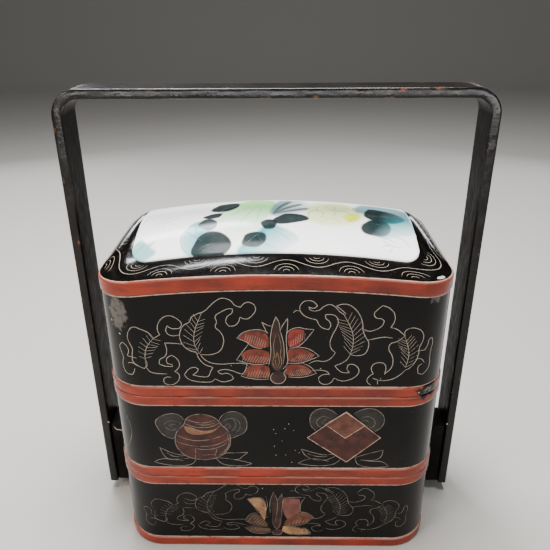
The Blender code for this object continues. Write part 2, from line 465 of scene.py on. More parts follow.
def band(low_end, high_end):
    """Insets and heights up a red band whose edges are rounded like a worn moulding."""
    steps = []
    for step in range(EDGE_STEPS + 1):
        turn = math.pi / 2 * step / EDGE_STEPS
        inset = RELIEF * (1 - math.sin(turn))
        steps.append((inset, low_end + EASE * (1 - math.cos(turn)), 1 - step / EDGE_STEPS))
    steps += [(inset, low_end + high_end - z, rub) for inset, z, rub in reversed(steps)]
    # Only the upper edge gets rub, for a pale line that is partly wear and partly painted highlight.
    return [(inset, z, rub if z > (low_end + high_end) / 2 else 0.0) for inset, z, rub in steps]


def tier(name, foot, rim, rests, rim_band, bent):
    base = foot + REST_GAP if rests else foot
    under = foot + LIP_HEIGHT + LIP_CLEARANCE if rests else foot
    shoulder = WALL - LIP_THICKNESS
    top = arched if bent else level
    foot_top = foot + FOOT_BAND

    bm = plan_ring(BOX)
    edge = bm.edges[:]
    set_ring(bm, bm.verts[:], ring(BOX, REBATE if rests else RELIEF, level(under)), 0.0)
    bmesh.ops.contextual_create(bm, geom=edge)
    if rests:
        edge = climb(bm, edge, ring(BOX, REBATE, level(base)))
        edge = climb(bm, edge, ring(BOX, RELIEF, level(base)))
    for inset, z, rub in band(base, foot_top)[1:]:
        edge = climb(bm, edge, ring(BOX, inset, level(z)), RED, rub)
    edge = climb(bm, edge, ring(BOX, RELIEF, level(foot_top + GILT_LINE)), GILT)
    for share in (0.25, 0.5, 0.75):
        middle = foot_top + share * (rim - RIM_BAND - foot_top)
        edge = climb(bm, edge, ring(BOX, RELIEF, level(middle)))
    if rim_band:
        edge = climb(bm, edge, ring(BOX, RELIEF, top(rim - RIM_BAND - GILT_LINE)))
        edge = climb(bm, edge, ring(BOX, RELIEF, top(rim - RIM_BAND)), GILT)
        for inset, z, rub in band(rim - RIM_BAND, rim)[1:]:
            edge = climb(bm, edge, ring(BOX, inset, top(z)), RED, rub)
    else:
        edge = climb(bm, edge, ring(BOX, RELIEF, top(rim - GILT_LINE)))
        edge = climb(bm, edge, ring(BOX, RELIEF, top(rim)), GILT)
    for inset, z in ((shoulder, rim), (shoulder, rim + LIP_HEIGHT), (WALL, rim + LIP_HEIGHT)):
        edge = climb(bm, edge, ring(BOX, inset, top(z)))
    edge = climb(bm, edge, ring(BOX, WALL, level(under + FLOOR)))
    bmesh.ops.contextual_create(bm, geom=edge)
    finish_piece(bm, name + "_lacquered", BOX_FINISHES, (name,))


tier("bottom_tier", 0.0, SEAM_1, False, True, False)
tier("middle_tier", SEAM_1, SEAM_2, True, True, False)
tier("top_tier", SEAM_2, SEAM_3, True, False, True)

# %% [markdown]
# ## The lid
# The lid is carved to one shape with the porcelain: a red band that follows the arch, then a black
# border that swells up to the plate. The same walk makes it, from the hollow underneath, round the
# band and over the border to the seat of the plate.

# %% Lid
DISC_STEPS = 6
BORDER_STEPS = 12
SEAT_DROP = PANEL_THICKNESS + 0.5 * MM
CEILING_DROP = SEAT_DROP + 3.5 * MM
GILT_SHARE = 0.025
HOLE = (PANEL_WIDTH + 2 * REST_GAP, PANEL_DEPTH + 2 * REST_GAP, PANEL_RADIUS + REST_GAP)


def sunk(drop):
    return lambda x, y: dome(x, y) - drop


def border(share, lift=0.0):
    """A place on the lid's border, from the band at 0 to the porcelain at 1."""
    def where(along, aim):
        ax, ay = set_out(BOX, along, aim, RELIEF)
        bx, by = set_out(HOLE, along, aim)
        low_edge = SEAM_3 + LID_BAND + arch(ax)
        high_edge = dome(bx, by) - BORDER_SINK
        climbed = 1 - (1 - share) ** BORDER_SWELL
        z = low_edge + climbed * (high_edge - low_edge) + lift
        return ax + share * (bx - ax), ay + share * (by - ay), z
    return where


def lid():
    bm = plan_ring(BOX)
    edge = bm.edges[:]
    set_ring(bm, bm.verts[:], ring(PANEL, 0, sunk(CEILING_DROP), 1 / DISC_STEPS), 0.0)
    bmesh.ops.contextual_create(bm, geom=edge)
    for step in range(2, DISC_STEPS + 1):
        edge = climb(bm, edge, ring(PANEL, 0, sunk(CEILING_DROP), step / DISC_STEPS))
    shoulder = SEAM_3 + LIP_HEIGHT + LIP_CLEARANCE
    seam = SEAM_3 + REST_GAP
    inside = ((WALL, shoulder + EASE), (WALL, shoulder), (REBATE, shoulder), (REBATE, seam), (RELIEF, seam))
    for inset, z in inside:
        edge = climb(bm, edge, ring(BOX, inset, arched(z)))
    for inset, z, rub in band(seam, SEAM_3 + LID_BAND)[1:]:
        edge = climb(bm, edge, ring(BOX, inset, arched(z)), RED, rub)
    edge = climb(bm, edge, border(GILT_SHARE), GILT)
    for step in range(1, BORDER_STEPS + 1):
        edge = climb(bm, edge, border(step / BORDER_STEPS))
    for step in range(DISC_STEPS, 0, -1):
        edge = climb(bm, edge, ring(HOLE, 0, sunk(SEAT_DROP), step / DISC_STEPS))
    bmesh.ops.contextual_create(bm, geom=edge)
    finish_piece(bm, "lid_lacquered", BOX_FINISHES, ("lid",))


lid()

# %% [markdown]
# ## The handle
# One strap of wood, steamed and bent to a U, under a thinner and browner lacquer than the box. On its
# four long edges the lacquer has chipped to the brown wood. The broad faces, which hands and walls
# rub, have gone dull, and the narrow front keeps its gloss.

# %% Handle lacquer
HANDLE_BODY = "#0c0a09"
HANDLE_HAZE = "#191512"


def chipped_handle_lacquer(name, shine, gloss, dull):
    material, tree, shader, place = start(name, gloss, shine=shine)
    rub = add(tree, "Attribute", {"attribute_name": "rub"}).outputs["Fac"]
    cloud = grain(tree, place, 30, 5)
    strokes = grain(tree, stretched(tree, place, (0.3, 1.0, 0.3)), 2.4, 4)
    colour = blend(tree, threshold(tree, cloud, 0.40, 0.72), HANDLE_BODY, HANDLE_HAZE)
    chips = product(tree, rub, threshold(tree, grain(tree, place, 8, 8, 0.72), 0.60, 0.66))
    colour = blend(tree, chips, colour, "#54382a")
    deep = product(tree, rub, threshold(tree, grain(tree, place, 22, 6, 0.7), 0.68, 0.71))
    colour = blend(tree, deep, colour, "#7a3c28")
    rough = threshold(tree, strokes, 0.35, 0.70, gloss, dull)
    normal = swell(tree, place, 0.45, 0.0014, 17, 4)
    feed(tree, shader, {"Base Color": colour, "Roughness": rough, "Normal": normal})
    return material


handle_lacquer = chipped_handle_lacquer("black_lacquer_chipped", 0.35, 0.14, 0.34)
dull_lacquer = chipped_handle_lacquer("black_lacquer_worn_dull", 0.05, 0.34, 0.55)
print("handle finishes:", handle_lacquer.name, dull_lacquer.name)

# %% [markdown]
# The end of the strap, a small rounded face, is swept like the steamed strip itself: up a leg, round
# a quarter turn, along the top and down again. The attribute rub is 1 on the four long edges, and a
# noise draws them in a little where they are worn.

# %% Handle
HANDLE_RADIUS = 16.0 * MM
STRAP_THICKNESS = 6.0 * MM
STRAP_EASE = 1.2 * MM
LEG_CUTS = 60
TOP_CUTS = 50
BEND_STEPS = 16
EDGE_WEAR = 0.25 * MM
WEAR_PER_METRE = 70
handle_low, handle_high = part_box("handle")


def handle():
    half = handle_high[0]
    width = handle_high[1] - handle_low[1]
    bm = bmesh.new()
    rubbed = bm.verts.layers.float.new("rub")
    bmesh.ops.create_grid(bm, x_segments=1, y_segments=1, size=0.5)
    bmesh.ops.scale(bm, vec=(STRAP_THICKNESS, width, 1), verts=bm.verts[:])
    bmesh.ops.bevel(bm, geom=bm.verts[:], offset=STRAP_EASE, offset_type="OFFSET", segments=4, profile=0.5,
                    affect="VERTICES", material=-1)
    flats = [edge for edge in bm.edges if edge.calc_length() > 2.5 * STRAP_EASE]
    for edge in flats:
        bmesh.ops.subdivide_edges(bm, edges=[edge], cuts=6 if edge.calc_length() > STRAP_THICKNESS else 2)
    for vert in bm.verts:
        corner = Vector((abs(vert.co.x) - STRAP_THICKNESS / 2, abs(vert.co.y) - width / 2))
        vert[rubbed] = 1.0 if corner.length < 1.1 * STRAP_EASE else 0.0
    middle = half - STRAP_THICKNESS / 2
    bmesh.ops.translate(bm, vec=(-middle, 0, handle_low[2]), verts=bm.verts[:])
    end = bm.faces[:]
    bend = half - HANDLE_RADIUS
    bend_height = handle_high[2] - HANDLE_RADIUS

    def grow(faces, steps, move, **how):
        """Extrude the strap's end step by step, each time moved or turned a little further."""
        for _ in range(steps):
            made = bmesh.ops.extrude_face_region(bm, geom=faces)["geom"]
            bmesh.ops.delete(bm, geom=faces, context="FACES_ONLY")
            faces = pick(made, bmesh.types.BMFace)
            move(bm, verts=list({vert for face in faces for vert in face.verts}), **how)
        return faces

    start_cap = bmesh.ops.duplicate(bm, geom=end)["geom"]
    up = Vector((0, 0, bend_height - handle_low[2])) / LEG_CUTS
    over = Vector((2 * bend, 0, 0)) / TOP_CUTS
    spin = Matrix.Rotation(math.radians(90 / BEND_STEPS), 3, "Y")
    end = grow(end, LEG_CUTS, bmesh.ops.translate, vec=up)
    end = grow(end, BEND_STEPS, bmesh.ops.rotate, cent=(-bend, 0, bend_height), matrix=spin)
    end = grow(end, TOP_CUTS, bmesh.ops.translate, vec=over)
    end = grow(end, BEND_STEPS, bmesh.ops.rotate, cent=(bend, 0, bend_height), matrix=spin)
    grow(end, LEG_CUTS, bmesh.ops.translate, vec=-up)
    print("strap cap faces", len(pick(start_cap, bmesh.types.BMFace)))
    for vert in bm.verts:
        if vert[rubbed] > 0.5:
            worn = EDGE_WEAR * max(0.0, noise.noise(vert.co * WEAR_PER_METRE))
            vert.co -= worn * Vector((0, math.copysign(1, vert.co.y), 0))
    for face in bm.faces:
        face.normal_update()
        face.material_index = 0 if abs(face.normal.y) > 0.5 else 1
    finish_piece(bm, "handle_strap", (handle_lacquer, dull_lacquer), ("handle",), 50)


handle()
for node in ("left_block", "right_block"):
    data = frame["nodes"][node].data
    data.materials.clear()
    data.materials.append(dull_lacquer)

# %% [markdown]
# ## Needle drawing
# Each line starts as a soft curve through a few given points, in millimetres along the wall and
# up it. Blender gives the curve its thickness, and the wire is then pressed nearly flat and wrapped
# round the plan. It stands a hair above the lacquer, as old filling does.

# %% The way round the box
def walk(shape, length):
    """The share along the straights and the aim at a length round the plan from the front's middle."""
    width, depth, radius = shape
    half_x, half_y, quarter = width / 2 - radius, depth / 2 - radius, math.pi * radius / 2
    whole = 4 * (half_x + half_y + quarter)
    length = (length + whole / 2) % whole - whole / 2
    side = -1 if length < 0 else 1
    gone = abs(length)
    if gone <= half_x:
        return (side * gone / half_x, -1), (0, -1)
    gone -= half_x
    if gone <= quarter:
        return (side, -1), (side * math.sin(gone / radius), -math.cos(gone / radius))
    gone -= quarter
    if gone <= 2 * half_y:
        return (side, -1 + gone / half_y), (side, 0)
    gone -= 2 * half_y
    if gone <= quarter:
        return (side, 1), (side * math.cos(gone / radius), math.sin(gone / radius))
    gone -= quarter
    return (side * (1 - gone / half_x), 1), (0, 1)


def round_length(shape):
    width, depth, radius = shape
    return 2 * (width + depth) - 8 * radius + 2 * math.pi * radius


def round_the(shape):
    """A place function for a drawing on an upright wall of this plan."""
    def where(x, y, lift):
        along, aim = walk(shape, x)
        px, py = set_out(shape, along, aim, -lift)
        return px, py, y
    return where


on_wall = round_the(FACE)
print("round the wall mm:", round(round_length(FACE) / MM, 1))

# %% [markdown]
# A needle slows down in a sharp turn and leaves a tip there, so a point where the line turns sharply
# gets straight handles and the others get soft ones. A closed outline is filled, an open one is a
# wire that thins out at its ends.

# %% Wrapping a flat drawing on a surface
LINE_PRESS = 0.35
LINE_END = 0.6
FILL_THICKNESS = 0.06
SHARP_TURN = math.radians(62)


def is_tip(points, place, closed):
    """Whether a stroke turns so sharply at a point that the needle made a tip there."""
    if not closed and place in (0, len(points) - 1):
        return False
    before, here, after = [Vector(points[(place + step) % len(points)]) for step in (-1, 0, 1)]
    return (here - before).angle(after - here, 0.0) > SHARP_TURN


def curve_mesh(strokes, width, flat, steps):
    """The mesh of curves through points in millimetres. A filled drawing is flat and closed."""
    curve = bpy.data.curves.new("drawing", "CURVE")
    curve.dimensions = "2D" if flat else "3D"
    curve.resolution_u = steps
    curve.fill_mode = "BOTH" if flat else "FULL"
    curve.extrude = width / 2 if flat else 0.0
    curve.bevel_depth = 0.0 if flat else width / 2
    curve.bevel_resolution = 0
    curve.use_fill_caps = not flat
    for points in strokes:
        spline = curve.splines.new("BEZIER")
        spline.bezier_points.add(len(points) - 1)
        spline.use_cyclic_u = flat
        for place, (x, y) in enumerate(points):
            knot = spline.bezier_points[place]
            knot.co = (x * MM, y * MM, 0)
            tip = flat and place == 0 or is_tip(points, place, flat)
            knot.handle_left_type = knot.handle_right_type = "VECTOR" if tip else "AUTO"
            knot.radius = LINE_END if not flat and place in (0, len(points) - 1) else 1.0
    holder = bpy.data.objects.new("drawing", curve)
    bpy.context.scene.collection.objects.link(holder)
    made = bpy.data.meshes.new_from_object(holder.evaluated_get(bpy.context.evaluated_depsgraph_get()))
    bpy.data.objects.remove(holder)
    bpy.data.curves.remove(curve)
    return made


def draw(name, strokes, where, material, width=0.5, flat=False, lift=0.0, steps=5):
    """Strokes as one piece, wrapped on a surface."""
    made = curve_mesh(strokes, (FILL_THICKNESS if flat else width) * MM, flat, steps)
    bm = bmesh.new()
    bm.from_mesh(made)
    bpy.data.meshes.remove(made)
    press = 1.0 if flat else LINE_PRESS
    for vert in bm.verts:
        vert.co = where(vert.co.x, vert.co.y, vert.co.z * press + lift * MM)
    return finish_piece(bm, name, (material,))


# %% [markdown]
# ## Scrolling lotus
# The tall front and the low front carry the same old pattern: a lotus in the middle, with stems that
# run out to feathered leaves and curl back in trunk-like tips. The left and the right were drawn
# by hand, so they differ a little. Leaf veins follow a rule: pairs of short strokes off a midrib.

# %% The scroll's strokes, in millimetres from the middle of the front
SCROLL_LEFT = [
    [(-44, 156), (-37, 156.2), (-32.5, 158.5), (-30.2, 163), (-30, 168), (-32, 172), (-34.2, 174.5),
     (-33.4, 178), (-34, 181.5), (-30.5, 184.5), (-26, 186.6), (-24, 186.4), (-24.3, 184), (-27, 181.5),
     (-28, 178), (-26.3, 175.2), (-22.8, 175.8), (-20.6, 178.5), (-19.8, 181), (-16.2, 180), (-12.8, 182.4),
     (-10.8, 187), (-13, 190.2), (-16.5, 190.4), (-19.2, 187.6), (-22, 188.5), (-25.5, 192.2),
     (-29.5, 193.3), (-32.6, 192), (-36, 189), (-40, 185), (-44.6, 183), (-47.6, 181), (-49, 178),
     (-52.4, 175.8), (-54.6, 172), (-55.2, 167), (-53.4, 162), (-50.2, 159), (-46.5, 158)],
    [(-16, 148), (-17.5, 149.4), (-24, 150), (-33, 149.3), (-38.5, 150.6), (-42, 153), (-44, 156)],
    [(-46.5, 158), (-44.5, 152.5), (-41.5, 148.8), (-37, 146.4), (-38.6, 142.6), (-40, 138.6), (-44, 138),
     (-49.4, 139.6), (-46.6, 142.6), (-45.8, 145), (-48, 146.4), (-51, 145.2), (-54.4, 140), (-52.6, 136.4),
     (-48, 133.9), (-42, 133.2), (-38, 133.8), (-36, 136.2)],
    [(-16.5, 140.6), (-21, 141), (-25.5, 143.4), (-31, 144.5), (-34.2, 143), (-32.8, 140.8), (-29, 141.2),
     (-26.2, 139.4), (-25, 136.4), (-27.6, 134.4), (-32, 133.6), (-36, 136.2)],
    [(-54, 163.2), (-59, 163.7), (-64.4, 163.9), (-63.6, 159), (-64.8, 155), (-68.4, 152.2), (-68.8, 149.2),
     (-65.6, 147.4), (-61, 147), (-61.4, 148.4)],
    [(-61, 148.8), (-64, 149.6), (-64.2, 153), (-61, 155.6), (-58, 153), (-56.8, 148.6), (-58.2, 144.8),
     (-60, 142.6), (-57.8, 140.4), (-57.6, 136.4), (-60, 132.2), (-63, 130.6), (-66.6, 131.6), (-67.2, 135),
     (-65.2, 137.6), (-62.4, 137.4)],
    [(-65, 140.4), (-70.5, 140.8), (-75, 142.6), (-76.6, 146)],
    [(-55.2, 169.4), (-60.5, 169), (-63, 171.8), (-62, 175.4), (-60, 173.8), (-55, 173.6), (-53.6, 176.6),
     (-56, 180), (-60.5, 182), (-64, 180.8), (-67, 177), (-67.8, 172.6), (-66.8, 169.4), (-70.6, 167)],
    [(-70.6, 167), (-73.4, 170.8), (-77.5, 173), (-82, 174.4), (-84.8, 171.8), (-86.2, 167), (-85.4, 163.4),
     (-84, 160), (-84.6, 155), (-84.4, 150.6), (-81.6, 147.4), (-78, 145.2), (-76.2, 148), (-76.4, 152)],
    [(-82, 153.4), (-88, 154.2), (-86.6, 158), (-88, 161.4), (-90.2, 163), (-92.6, 160.4), (-92.4, 157),
     (-91, 153), (-92, 148), (-91.6, 143), (-90, 139.6), (-86, 138.8), (-84.8, 141.6), (-83.8, 145)],
    [(-88, 149), (-84.8, 149.6), (-82.4, 147.6)],
]
SCROLL_RIGHT = [
    [(44, 156.2), (48.4, 155.6), (52.6, 157), (54, 160), (54.4, 164.4), (52.6, 168), (50.8, 172), (50.2, 177),
     (48.6, 182), (45.6, 186.4), (41.8, 189.2), (38, 189.6), (34.8, 188.4), (37.6, 186.2), (40.6, 183.2)],
    [(35.4, 157.6), (33, 160.2), (32, 164.2), (33.2, 169.4), (35.4, 174.4), (36.2, 178.6), (34.6, 182),
     (31.6, 183), (28.8, 182.8), (29.2, 180.4), (31.2, 178.4), (32, 175.6), (30.8, 173.2), (27.4, 174.2),
     (24.9, 177), (24, 179.2), (20.4, 180.4), (16.4, 182.6), (14.2, 186.4), (15.2, 190), (18.4, 191.8),
     (22, 191), (24.2, 188.4), (22, 187), (19.2, 187.8), (20.4, 185.8), (24.8, 185.6), (27.8, 188),
     (30.8, 189.4), (34, 188), (36.4, 185.2), (40, 182.4)],
    [(10.5, 184), (12, 185.4), (14.4, 185.2)],
    [(20, 150), (23.8, 151.8), (30, 151.8), (33, 154), (35.4, 157.6)],
    [(44, 156.2), (42, 152.4), (38.6, 150), (35.4, 148.4), (37.8, 145.4), (40.2, 143.8), (44.2, 143.6),
     (42.6, 146.4), (43.2, 149.2), (45.6, 149.6), (48.6, 147.8), (49.8, 144.4), (48, 141), (44, 138.4),
     (39.6, 137.8), (35.2, 139.8)],
    [(22, 145.2), (27, 145.4), (31, 144.2), (32.4, 142.4), (28.6, 142.2), (26, 140.2), (26.6, 137),
     (30, 135.2), (33.4, 136.6), (35.2, 139.8)],
    [(54, 166.2), (58, 167.2), (63, 168.2), (68, 167.6)],
    [(51, 173.6), (53.6, 172.2), (57.6, 173), (61.4, 175.8), (62.4, 178.8), (60.8, 180.2), (57.8, 180.8),
     (56.4, 183.4), (58.4, 186.4), (61, 188.8), (65.2, 186.8), (68, 183), (68.2, 178.4), (66.4, 174.6),
     (70, 173.4), (73, 171), (75, 169)],
    [(75, 169), (74.8, 172), (78, 174.2), (82.2, 173.6), (85.4, 170.6), (86, 166), (84.2, 161), (84, 156),
     (82.4, 151), (79.4, 147), (77, 145.4)],
    [(75, 169), (71, 165.4), (67, 163.6), (66.4, 160), (68.4, 156), (69.4, 152), (68.8, 147.4), (65, 142.6),
     (65.6, 147), (64.4, 150), (61, 150.8), (58, 149.4), (57, 146.2), (58.4, 143), (56, 141), (55, 137.4),
     (57.4, 134.8)],
    [(61.4, 135.4), (61.2, 138.6), (58, 139.8), (63, 138.2), (68, 138.6), (72, 140.4), (75, 143),
     (77, 145.4)],
    [(84.5, 158.8), (88, 158.8), (89.5, 162), (90.2, 165.4), (92, 166.4), (93, 163), (92.2, 157), (92.2, 152),
     (92.6, 148), (91, 144), (88, 141.6), (85, 143), (85, 148), (87, 149.4)],
    [(83.5, 153.3), (86, 153), (88.5, 150)],
]
print("scroll strokes", len(SCROLL_LEFT) + len(SCROLL_RIGHT))

# %% [markdown]
# The high flower is a bud with a flame in it between three petals to each side. Every petal is an
# outline to fill, a drawn edge and a comb of short strokes, which says where the strokes begin and
# end, which way they go and how many there are.

# %% The high flower
LOTUS_LINES = [
    [(-3.6, 149), (-2.4, 158), (-2.6, 167), (-1.2, 176), (0.6, 181.6), (2.4, 177.6), (3, 172.4)],
    [(3, 172.4), (4.6, 176), (7.4, 180.6), (7.2, 174), (6.6, 168), (7, 158), (7.2, 150), (4.6, 146)],
    [(3, 172.4), (4.6, 166), (5.4, 158), (5, 150)],
    [(-4.4, 170.6), (-6, 174.4), (-7.4, 178), (-3.8, 175.8), (-1.8, 175.4)],
    [(-1.2, 143.4), (-2.8, 140.2), (-1.6, 137), (1.6, 135.6), (4.6, 136.6), (6.4, 140), (5.2, 143.4),
     (7.2, 146)],
]
FLAME_LINES = [
    [(1.4, 145.4), (-1.2, 149.4), (-0.4, 156), (-0.8, 163), (0.6, 170)],
    [(1.4, 145.4), (3.8, 149.6), (3.2, 156), (3.6, 162), (2, 170)],
    [(1.4, 147), (0.2, 151), (1.3, 158), (2.5, 151), (1.4, 147)],
]
TOP_PETALS = {
    "red_left_high": [(-21.4, 167.4), (-18.6, 170.4), (-14, 172), (-8.5, 172.2), (-5.2, 170.4), (-3.6, 166),
        (-3.6, 161.6), (-8.2, 160.6), (-13, 162), (-17.2, 165)],
    "red_left_middle": [(-20, 156), (-16, 159.2), (-11, 159.8), (-7, 159.2), (-3.6, 158), (-3.2, 154),
        (-3.4, 151.4), (-8, 150), (-14, 150.6), (-18.2, 152.2)],
    "red_left_low": [(-19, 141.4), (-17.4, 145.4), (-15, 148.4), (-9.6, 149), (-3.8, 148), (-3, 144.2),
        (-3.8, 140), (-10, 139.6), (-15.6, 140.4)],
    "bright_right_high": [(16.8, 172.8), (12.4, 173.4), (9, 172.2), (7.6, 169), (7.6, 164), (8.4, 161.4),
        (12.2, 162), (15.2, 165), (17, 169)],
    "red_right_middle": [(23.4, 156), (19.4, 159), (16, 160.4), (12, 160.4), (8, 159.6), (7.4, 156),
        (7.2, 152), (11, 151), (16, 151), (20.6, 153.4)],
    "red_right_low": [(22.6, 143.6), (19, 147.6), (15.6, 149), (11, 149.4), (7, 149), (6, 146), (6, 142.4),
        (10, 141.2), (15, 141), (19.6, 142.2)],
}
TOP_EDGES = [
    [(-4, 171), (-8.5, 172.9), (-14, 172.6), (-18.5, 171), (-22, 167.4)],
    [(-22, 167.4), (-16.8, 164.8), (-12.5, 161.4), (-7.6, 160.2)],
    [(-15.6, 163), (-18.2, 159.4), (-22.8, 152.4)],
    [(-22.8, 152.4), (-18.4, 150.8), (-14, 149.6), (-8, 149.4), (-3.4, 150.4)],
    [(-16.6, 150.4), (-17.4, 146), (-20.4, 141)],
    [(-20.4, 141), (-15.8, 139.6), (-10, 138.7), (-3.6, 139)],
    [(6.8, 170.6), (9, 173), (13, 174.4), (18, 173.6), (22.6, 173.2)],
    [(22.6, 173.2), (19.6, 168.6), (16.6, 164.6), (12, 161.2), (8.4, 160.6)],
    [(12.4, 161.4), (17, 161), (21.6, 159), (26, 155.2)],
    [(26, 155.2), (20.6, 152.6), (15, 150.4), (7.4, 150.2)],
    [(16, 150.4), (20.6, 148), (24.6, 143.2)],
    [(24.6, 143.2), (19, 141), (14, 140.2), (8, 140.4)],
]
TOP_COMBS = [
    ((-17.8, 165.2), (-6.4, 160.8), (1.6, 5.4), 10),
    ((-19.6, 151.4), (-5.4, 150), (2.4, 4.6), 10),
    ((-16.6, 140.4), (-4.6, 139.6), (1.8, 5.0), 9),
    ((9.2, 161.6), (17.2, 166.4), (0.4, 5.4), 7),
    ((9.4, 151), (21, 153.2), (2.4, 4.4), 9),
    ((8, 140.8), (19.4, 141.8), (2.6, 4.8), 10),
]
TOP_BUD = [(1.2, 143.8), (-1.6, 147), (-2, 158), (-1.8, 168), (-1, 176), (0.6, 181), (2.4, 177.4), (3, 172),
           (4.2, 165), (5.2, 158), (5, 149), (3.6, 145.4)]
TOP_BASE = [(1.8, 144.6), (5.2, 143.4), (6.4, 140), (4.6, 136.6), (1.6, 135.6), (-1.6, 137), (-2.8, 140.2),
            (-1.2, 143.4)]
print("high flower petals", len(TOP_PETALS))

# %% [markdown]
# The low flower is worn, and its petals lean the other way. It is set out in the same manner.

# %% The low flower
LOW_PETALS = {
    "gold_left_high": [(-18.8, 42.4), (-13.6, 43.2), (-9.4, 42.6), (-7.2, 38), (-6.8, 31), (-8, 22.6),
        (-10, 27), (-12.4, 32), (-15.4, 37)],
    "brown_left_middle": [(-16, 28.8), (-11.4, 27.6), (-8, 22), (-5.4, 17.4), (-10, 17), (-15, 18.6),
        (-20.6, 23.4)],
    "brown_left_low": [(-21.4, 16.6), (-15.6, 17.8), (-9.6, 16.4), (-4.4, 15.4), (-3.4, 12.6), (-9.6, 11.4),
        (-16.6, 12.6)],
    "mauve_right_high": [(15.8, 42.8), (10.4, 43.4), (5.2, 43), (4.2, 38.6), (5, 30.4), (7.4, 24.4),
        (11.6, 27), (15.4, 30.4), (16, 36)],
    "tan_right_middle": [(24.8, 26.2), (20, 30), (15.6, 30), (11, 26.6), (6.6, 23), (5.4, 19), (11, 18.2),
        (18, 20.2)],
    "gold_right_low": [(22.8, 10.8), (20.8, 14.6), (15.6, 16.4), (9.4, 17.4), (4.6, 17.8), (3.8, 13.4),
        (8, 10.8), (15, 10.2)],
}
LOW_EDGES = [
    [(-7, 36), (-9, 42.8), (-13.6, 43.8), (-19.4, 42.6)],
    [(-19.4, 42.6), (-15.4, 36.4), (-12, 30)],
    [(-12.8, 29.6), (-16.4, 29.4), (-21.4, 23.2), (-15, 18)],
    [(-21.8, 16.4), (-16.6, 12), (-9.6, 10.8), (-3.4, 12)],
    [(4, 36), (5, 43.6), (11, 44.2), (19.4, 44.4)],
    [(19.4, 44.4), (16.6, 38.6), (16.2, 31), (20.4, 30.4), (25.6, 26)],
    [(25.6, 26), (18, 19.6), (11, 17.8), (5, 19)],
    [(17.6, 17), (21.6, 14.4), (23.8, 10.6), (15, 9.6), (8, 10.2)],
]
LOW_COMBS = [
    ((-16.2, 38.4), (-8.2, 25), (3.4, 2.4), 9),
    ((-19, 22.4), (-8, 17.8), (3.2, 4.2), 7),
    ((-17.6, 13.2), (-5.4, 12.2), (1.8, 3.4), 8),
    ((6.4, 11), (20.4, 10.8), (-1.6, 5), 11),
    ((8.4, 18.8), (20.4, 21.6), (1.4, 3.6), 6),
]
LOW_BUD = [(0.4, 14), (-2.6, 20), (-2.8, 30), (-3.4, 40), (-1.8, 48), (0.6, 40), (3.4, 46), (3.2, 36),
           (3.6, 26), (3, 18)]
LOW_BASE = [(0.4, 15), (3.4, 14), (4.4, 12), (2.4, 9.8), (-1.6, 9.8), (-3.6, 12), (-2.6, 14)]
LOW_LINES = [
    [(-4, 30), (-4.2, 39), (-1.9, 49)],
    [(-1.9, 49), (0.8, 41), (0.6, 32), (-0.6, 22)],
    [(0.8, 41), (3.9, 47.4)],
    [(3.9, 47.4), (4, 38), (3.6, 26)],
    [(-6.8, 45), (-6, 38), (-7, 31)],
    [(-2.6, 24), (-1.6, 18), (0.4, 14.6), (2.4, 19), (2.8, 25)],
    [(-2.8, 12.6), (-1.8, 9.8), (2.6, 9.8), (4.2, 12.4)],
]
print("low flower petals", len(LOW_PETALS))

# %% [markdown]
# A leaf is a midrib, how long its veins are on either side, and how many pairs it has. A number of
# pairs below zero makes the veins hang back instead of rising. A smooth curve through the midrib's
# points gives the place and the way of each pair.

# %% Leaf veins and combs
VEIN_SPREAD = 0.76
VEIN_RISE = 0.66
VEIN_HANG = -0.30
MIDRIBS = [
    ([(-44.4, 156.6), (-47, 163), (-46.6, 171), (-44.6, 177), (-41.6, 184)], 7.6, 6.4, 9),
    ([(-71, 166.6), (-75, 161.6), (-76.8, 155), (-76.8, 147.6)], 7.4, 6.4, -7),
    ([(44.2, 156.6), (45.4, 163), (45, 170), (42.6, 176.6), (38.6, 184)], 9.2, 8.8, 10),
    ([(77, 147.6), (78.4, 156), (77, 163), (75, 168.6)], 7.4, 7.4, 9),
]


def soft_line(points, count):
    """Even steps along a smooth curve through the points, as a place and a way."""
    knots = [Vector(point) for point in points]
    knots = [2 * knots[0] - knots[1]] + knots + [2 * knots[-1] - knots[-2]]
    found = []
    for step in range(count):
        reach = step / (count - 1) * (len(points) - 1)
        place = min(int(reach), len(points) - 2)
        t = reach - place
        a, b, c, d = knots[place:place + 4]
        square = 2 * a - 5 * b + 4 * c - d
        cube = 3 * b - a - 3 * c + d
        here = 0.5 * (2 * b + (c - a) * t + square * t * t + cube * t ** 3)
        way = 0.5 * ((c - a) + 2 * square * t + 3 * cube * t * t)
        found.append((here, way.normalized()))
    return found


def veins(midrib, left, right, pairs):
    """A midrib with straight veins in pairs, longest in the middle of the leaf."""
    rows = soft_line(midrib, abs(pairs) + 2)
    strokes = [midrib]
    rise = VEIN_RISE if pairs > 0 else VEIN_HANG
    for number, (here, way) in enumerate(rows[:-2]):
        fullness = 0.66 + 0.34 * math.sin(math.pi * (number + 0.7) / abs(pairs))
        for length, side in ((left, 1), (right, -1)):
            across = Vector((-way.y, way.x)) * side
            tip = here + length * fullness * (VEIN_SPREAD * across + rise * way)
            strokes.append([tuple(here), tuple(tip)])
    return strokes


def comb(begin, end, way, count):
    """Short slanting strokes side by side, as a graver leaves them in the lower half of a petal."""
    strokes = []
    for number in range(count):
        share = number / (count - 1)
        foot = Vector(begin).lerp(Vector(end), share)
        tip = foot + Vector(way) * (0.75 + 0.25 * math.sin(math.pi * share))
        strokes.append([tuple(foot), tuple(tip)])
    return strokes


leaf_veins = [stroke for leaf in MIDRIBS for stroke in veins(*leaf)]
print("vein strokes", len(leaf_veins))

# %% [markdown]
# A pattern moves to another face with one small change of place: shifted along the wall, and
# squeezed to the height of a lower tier.

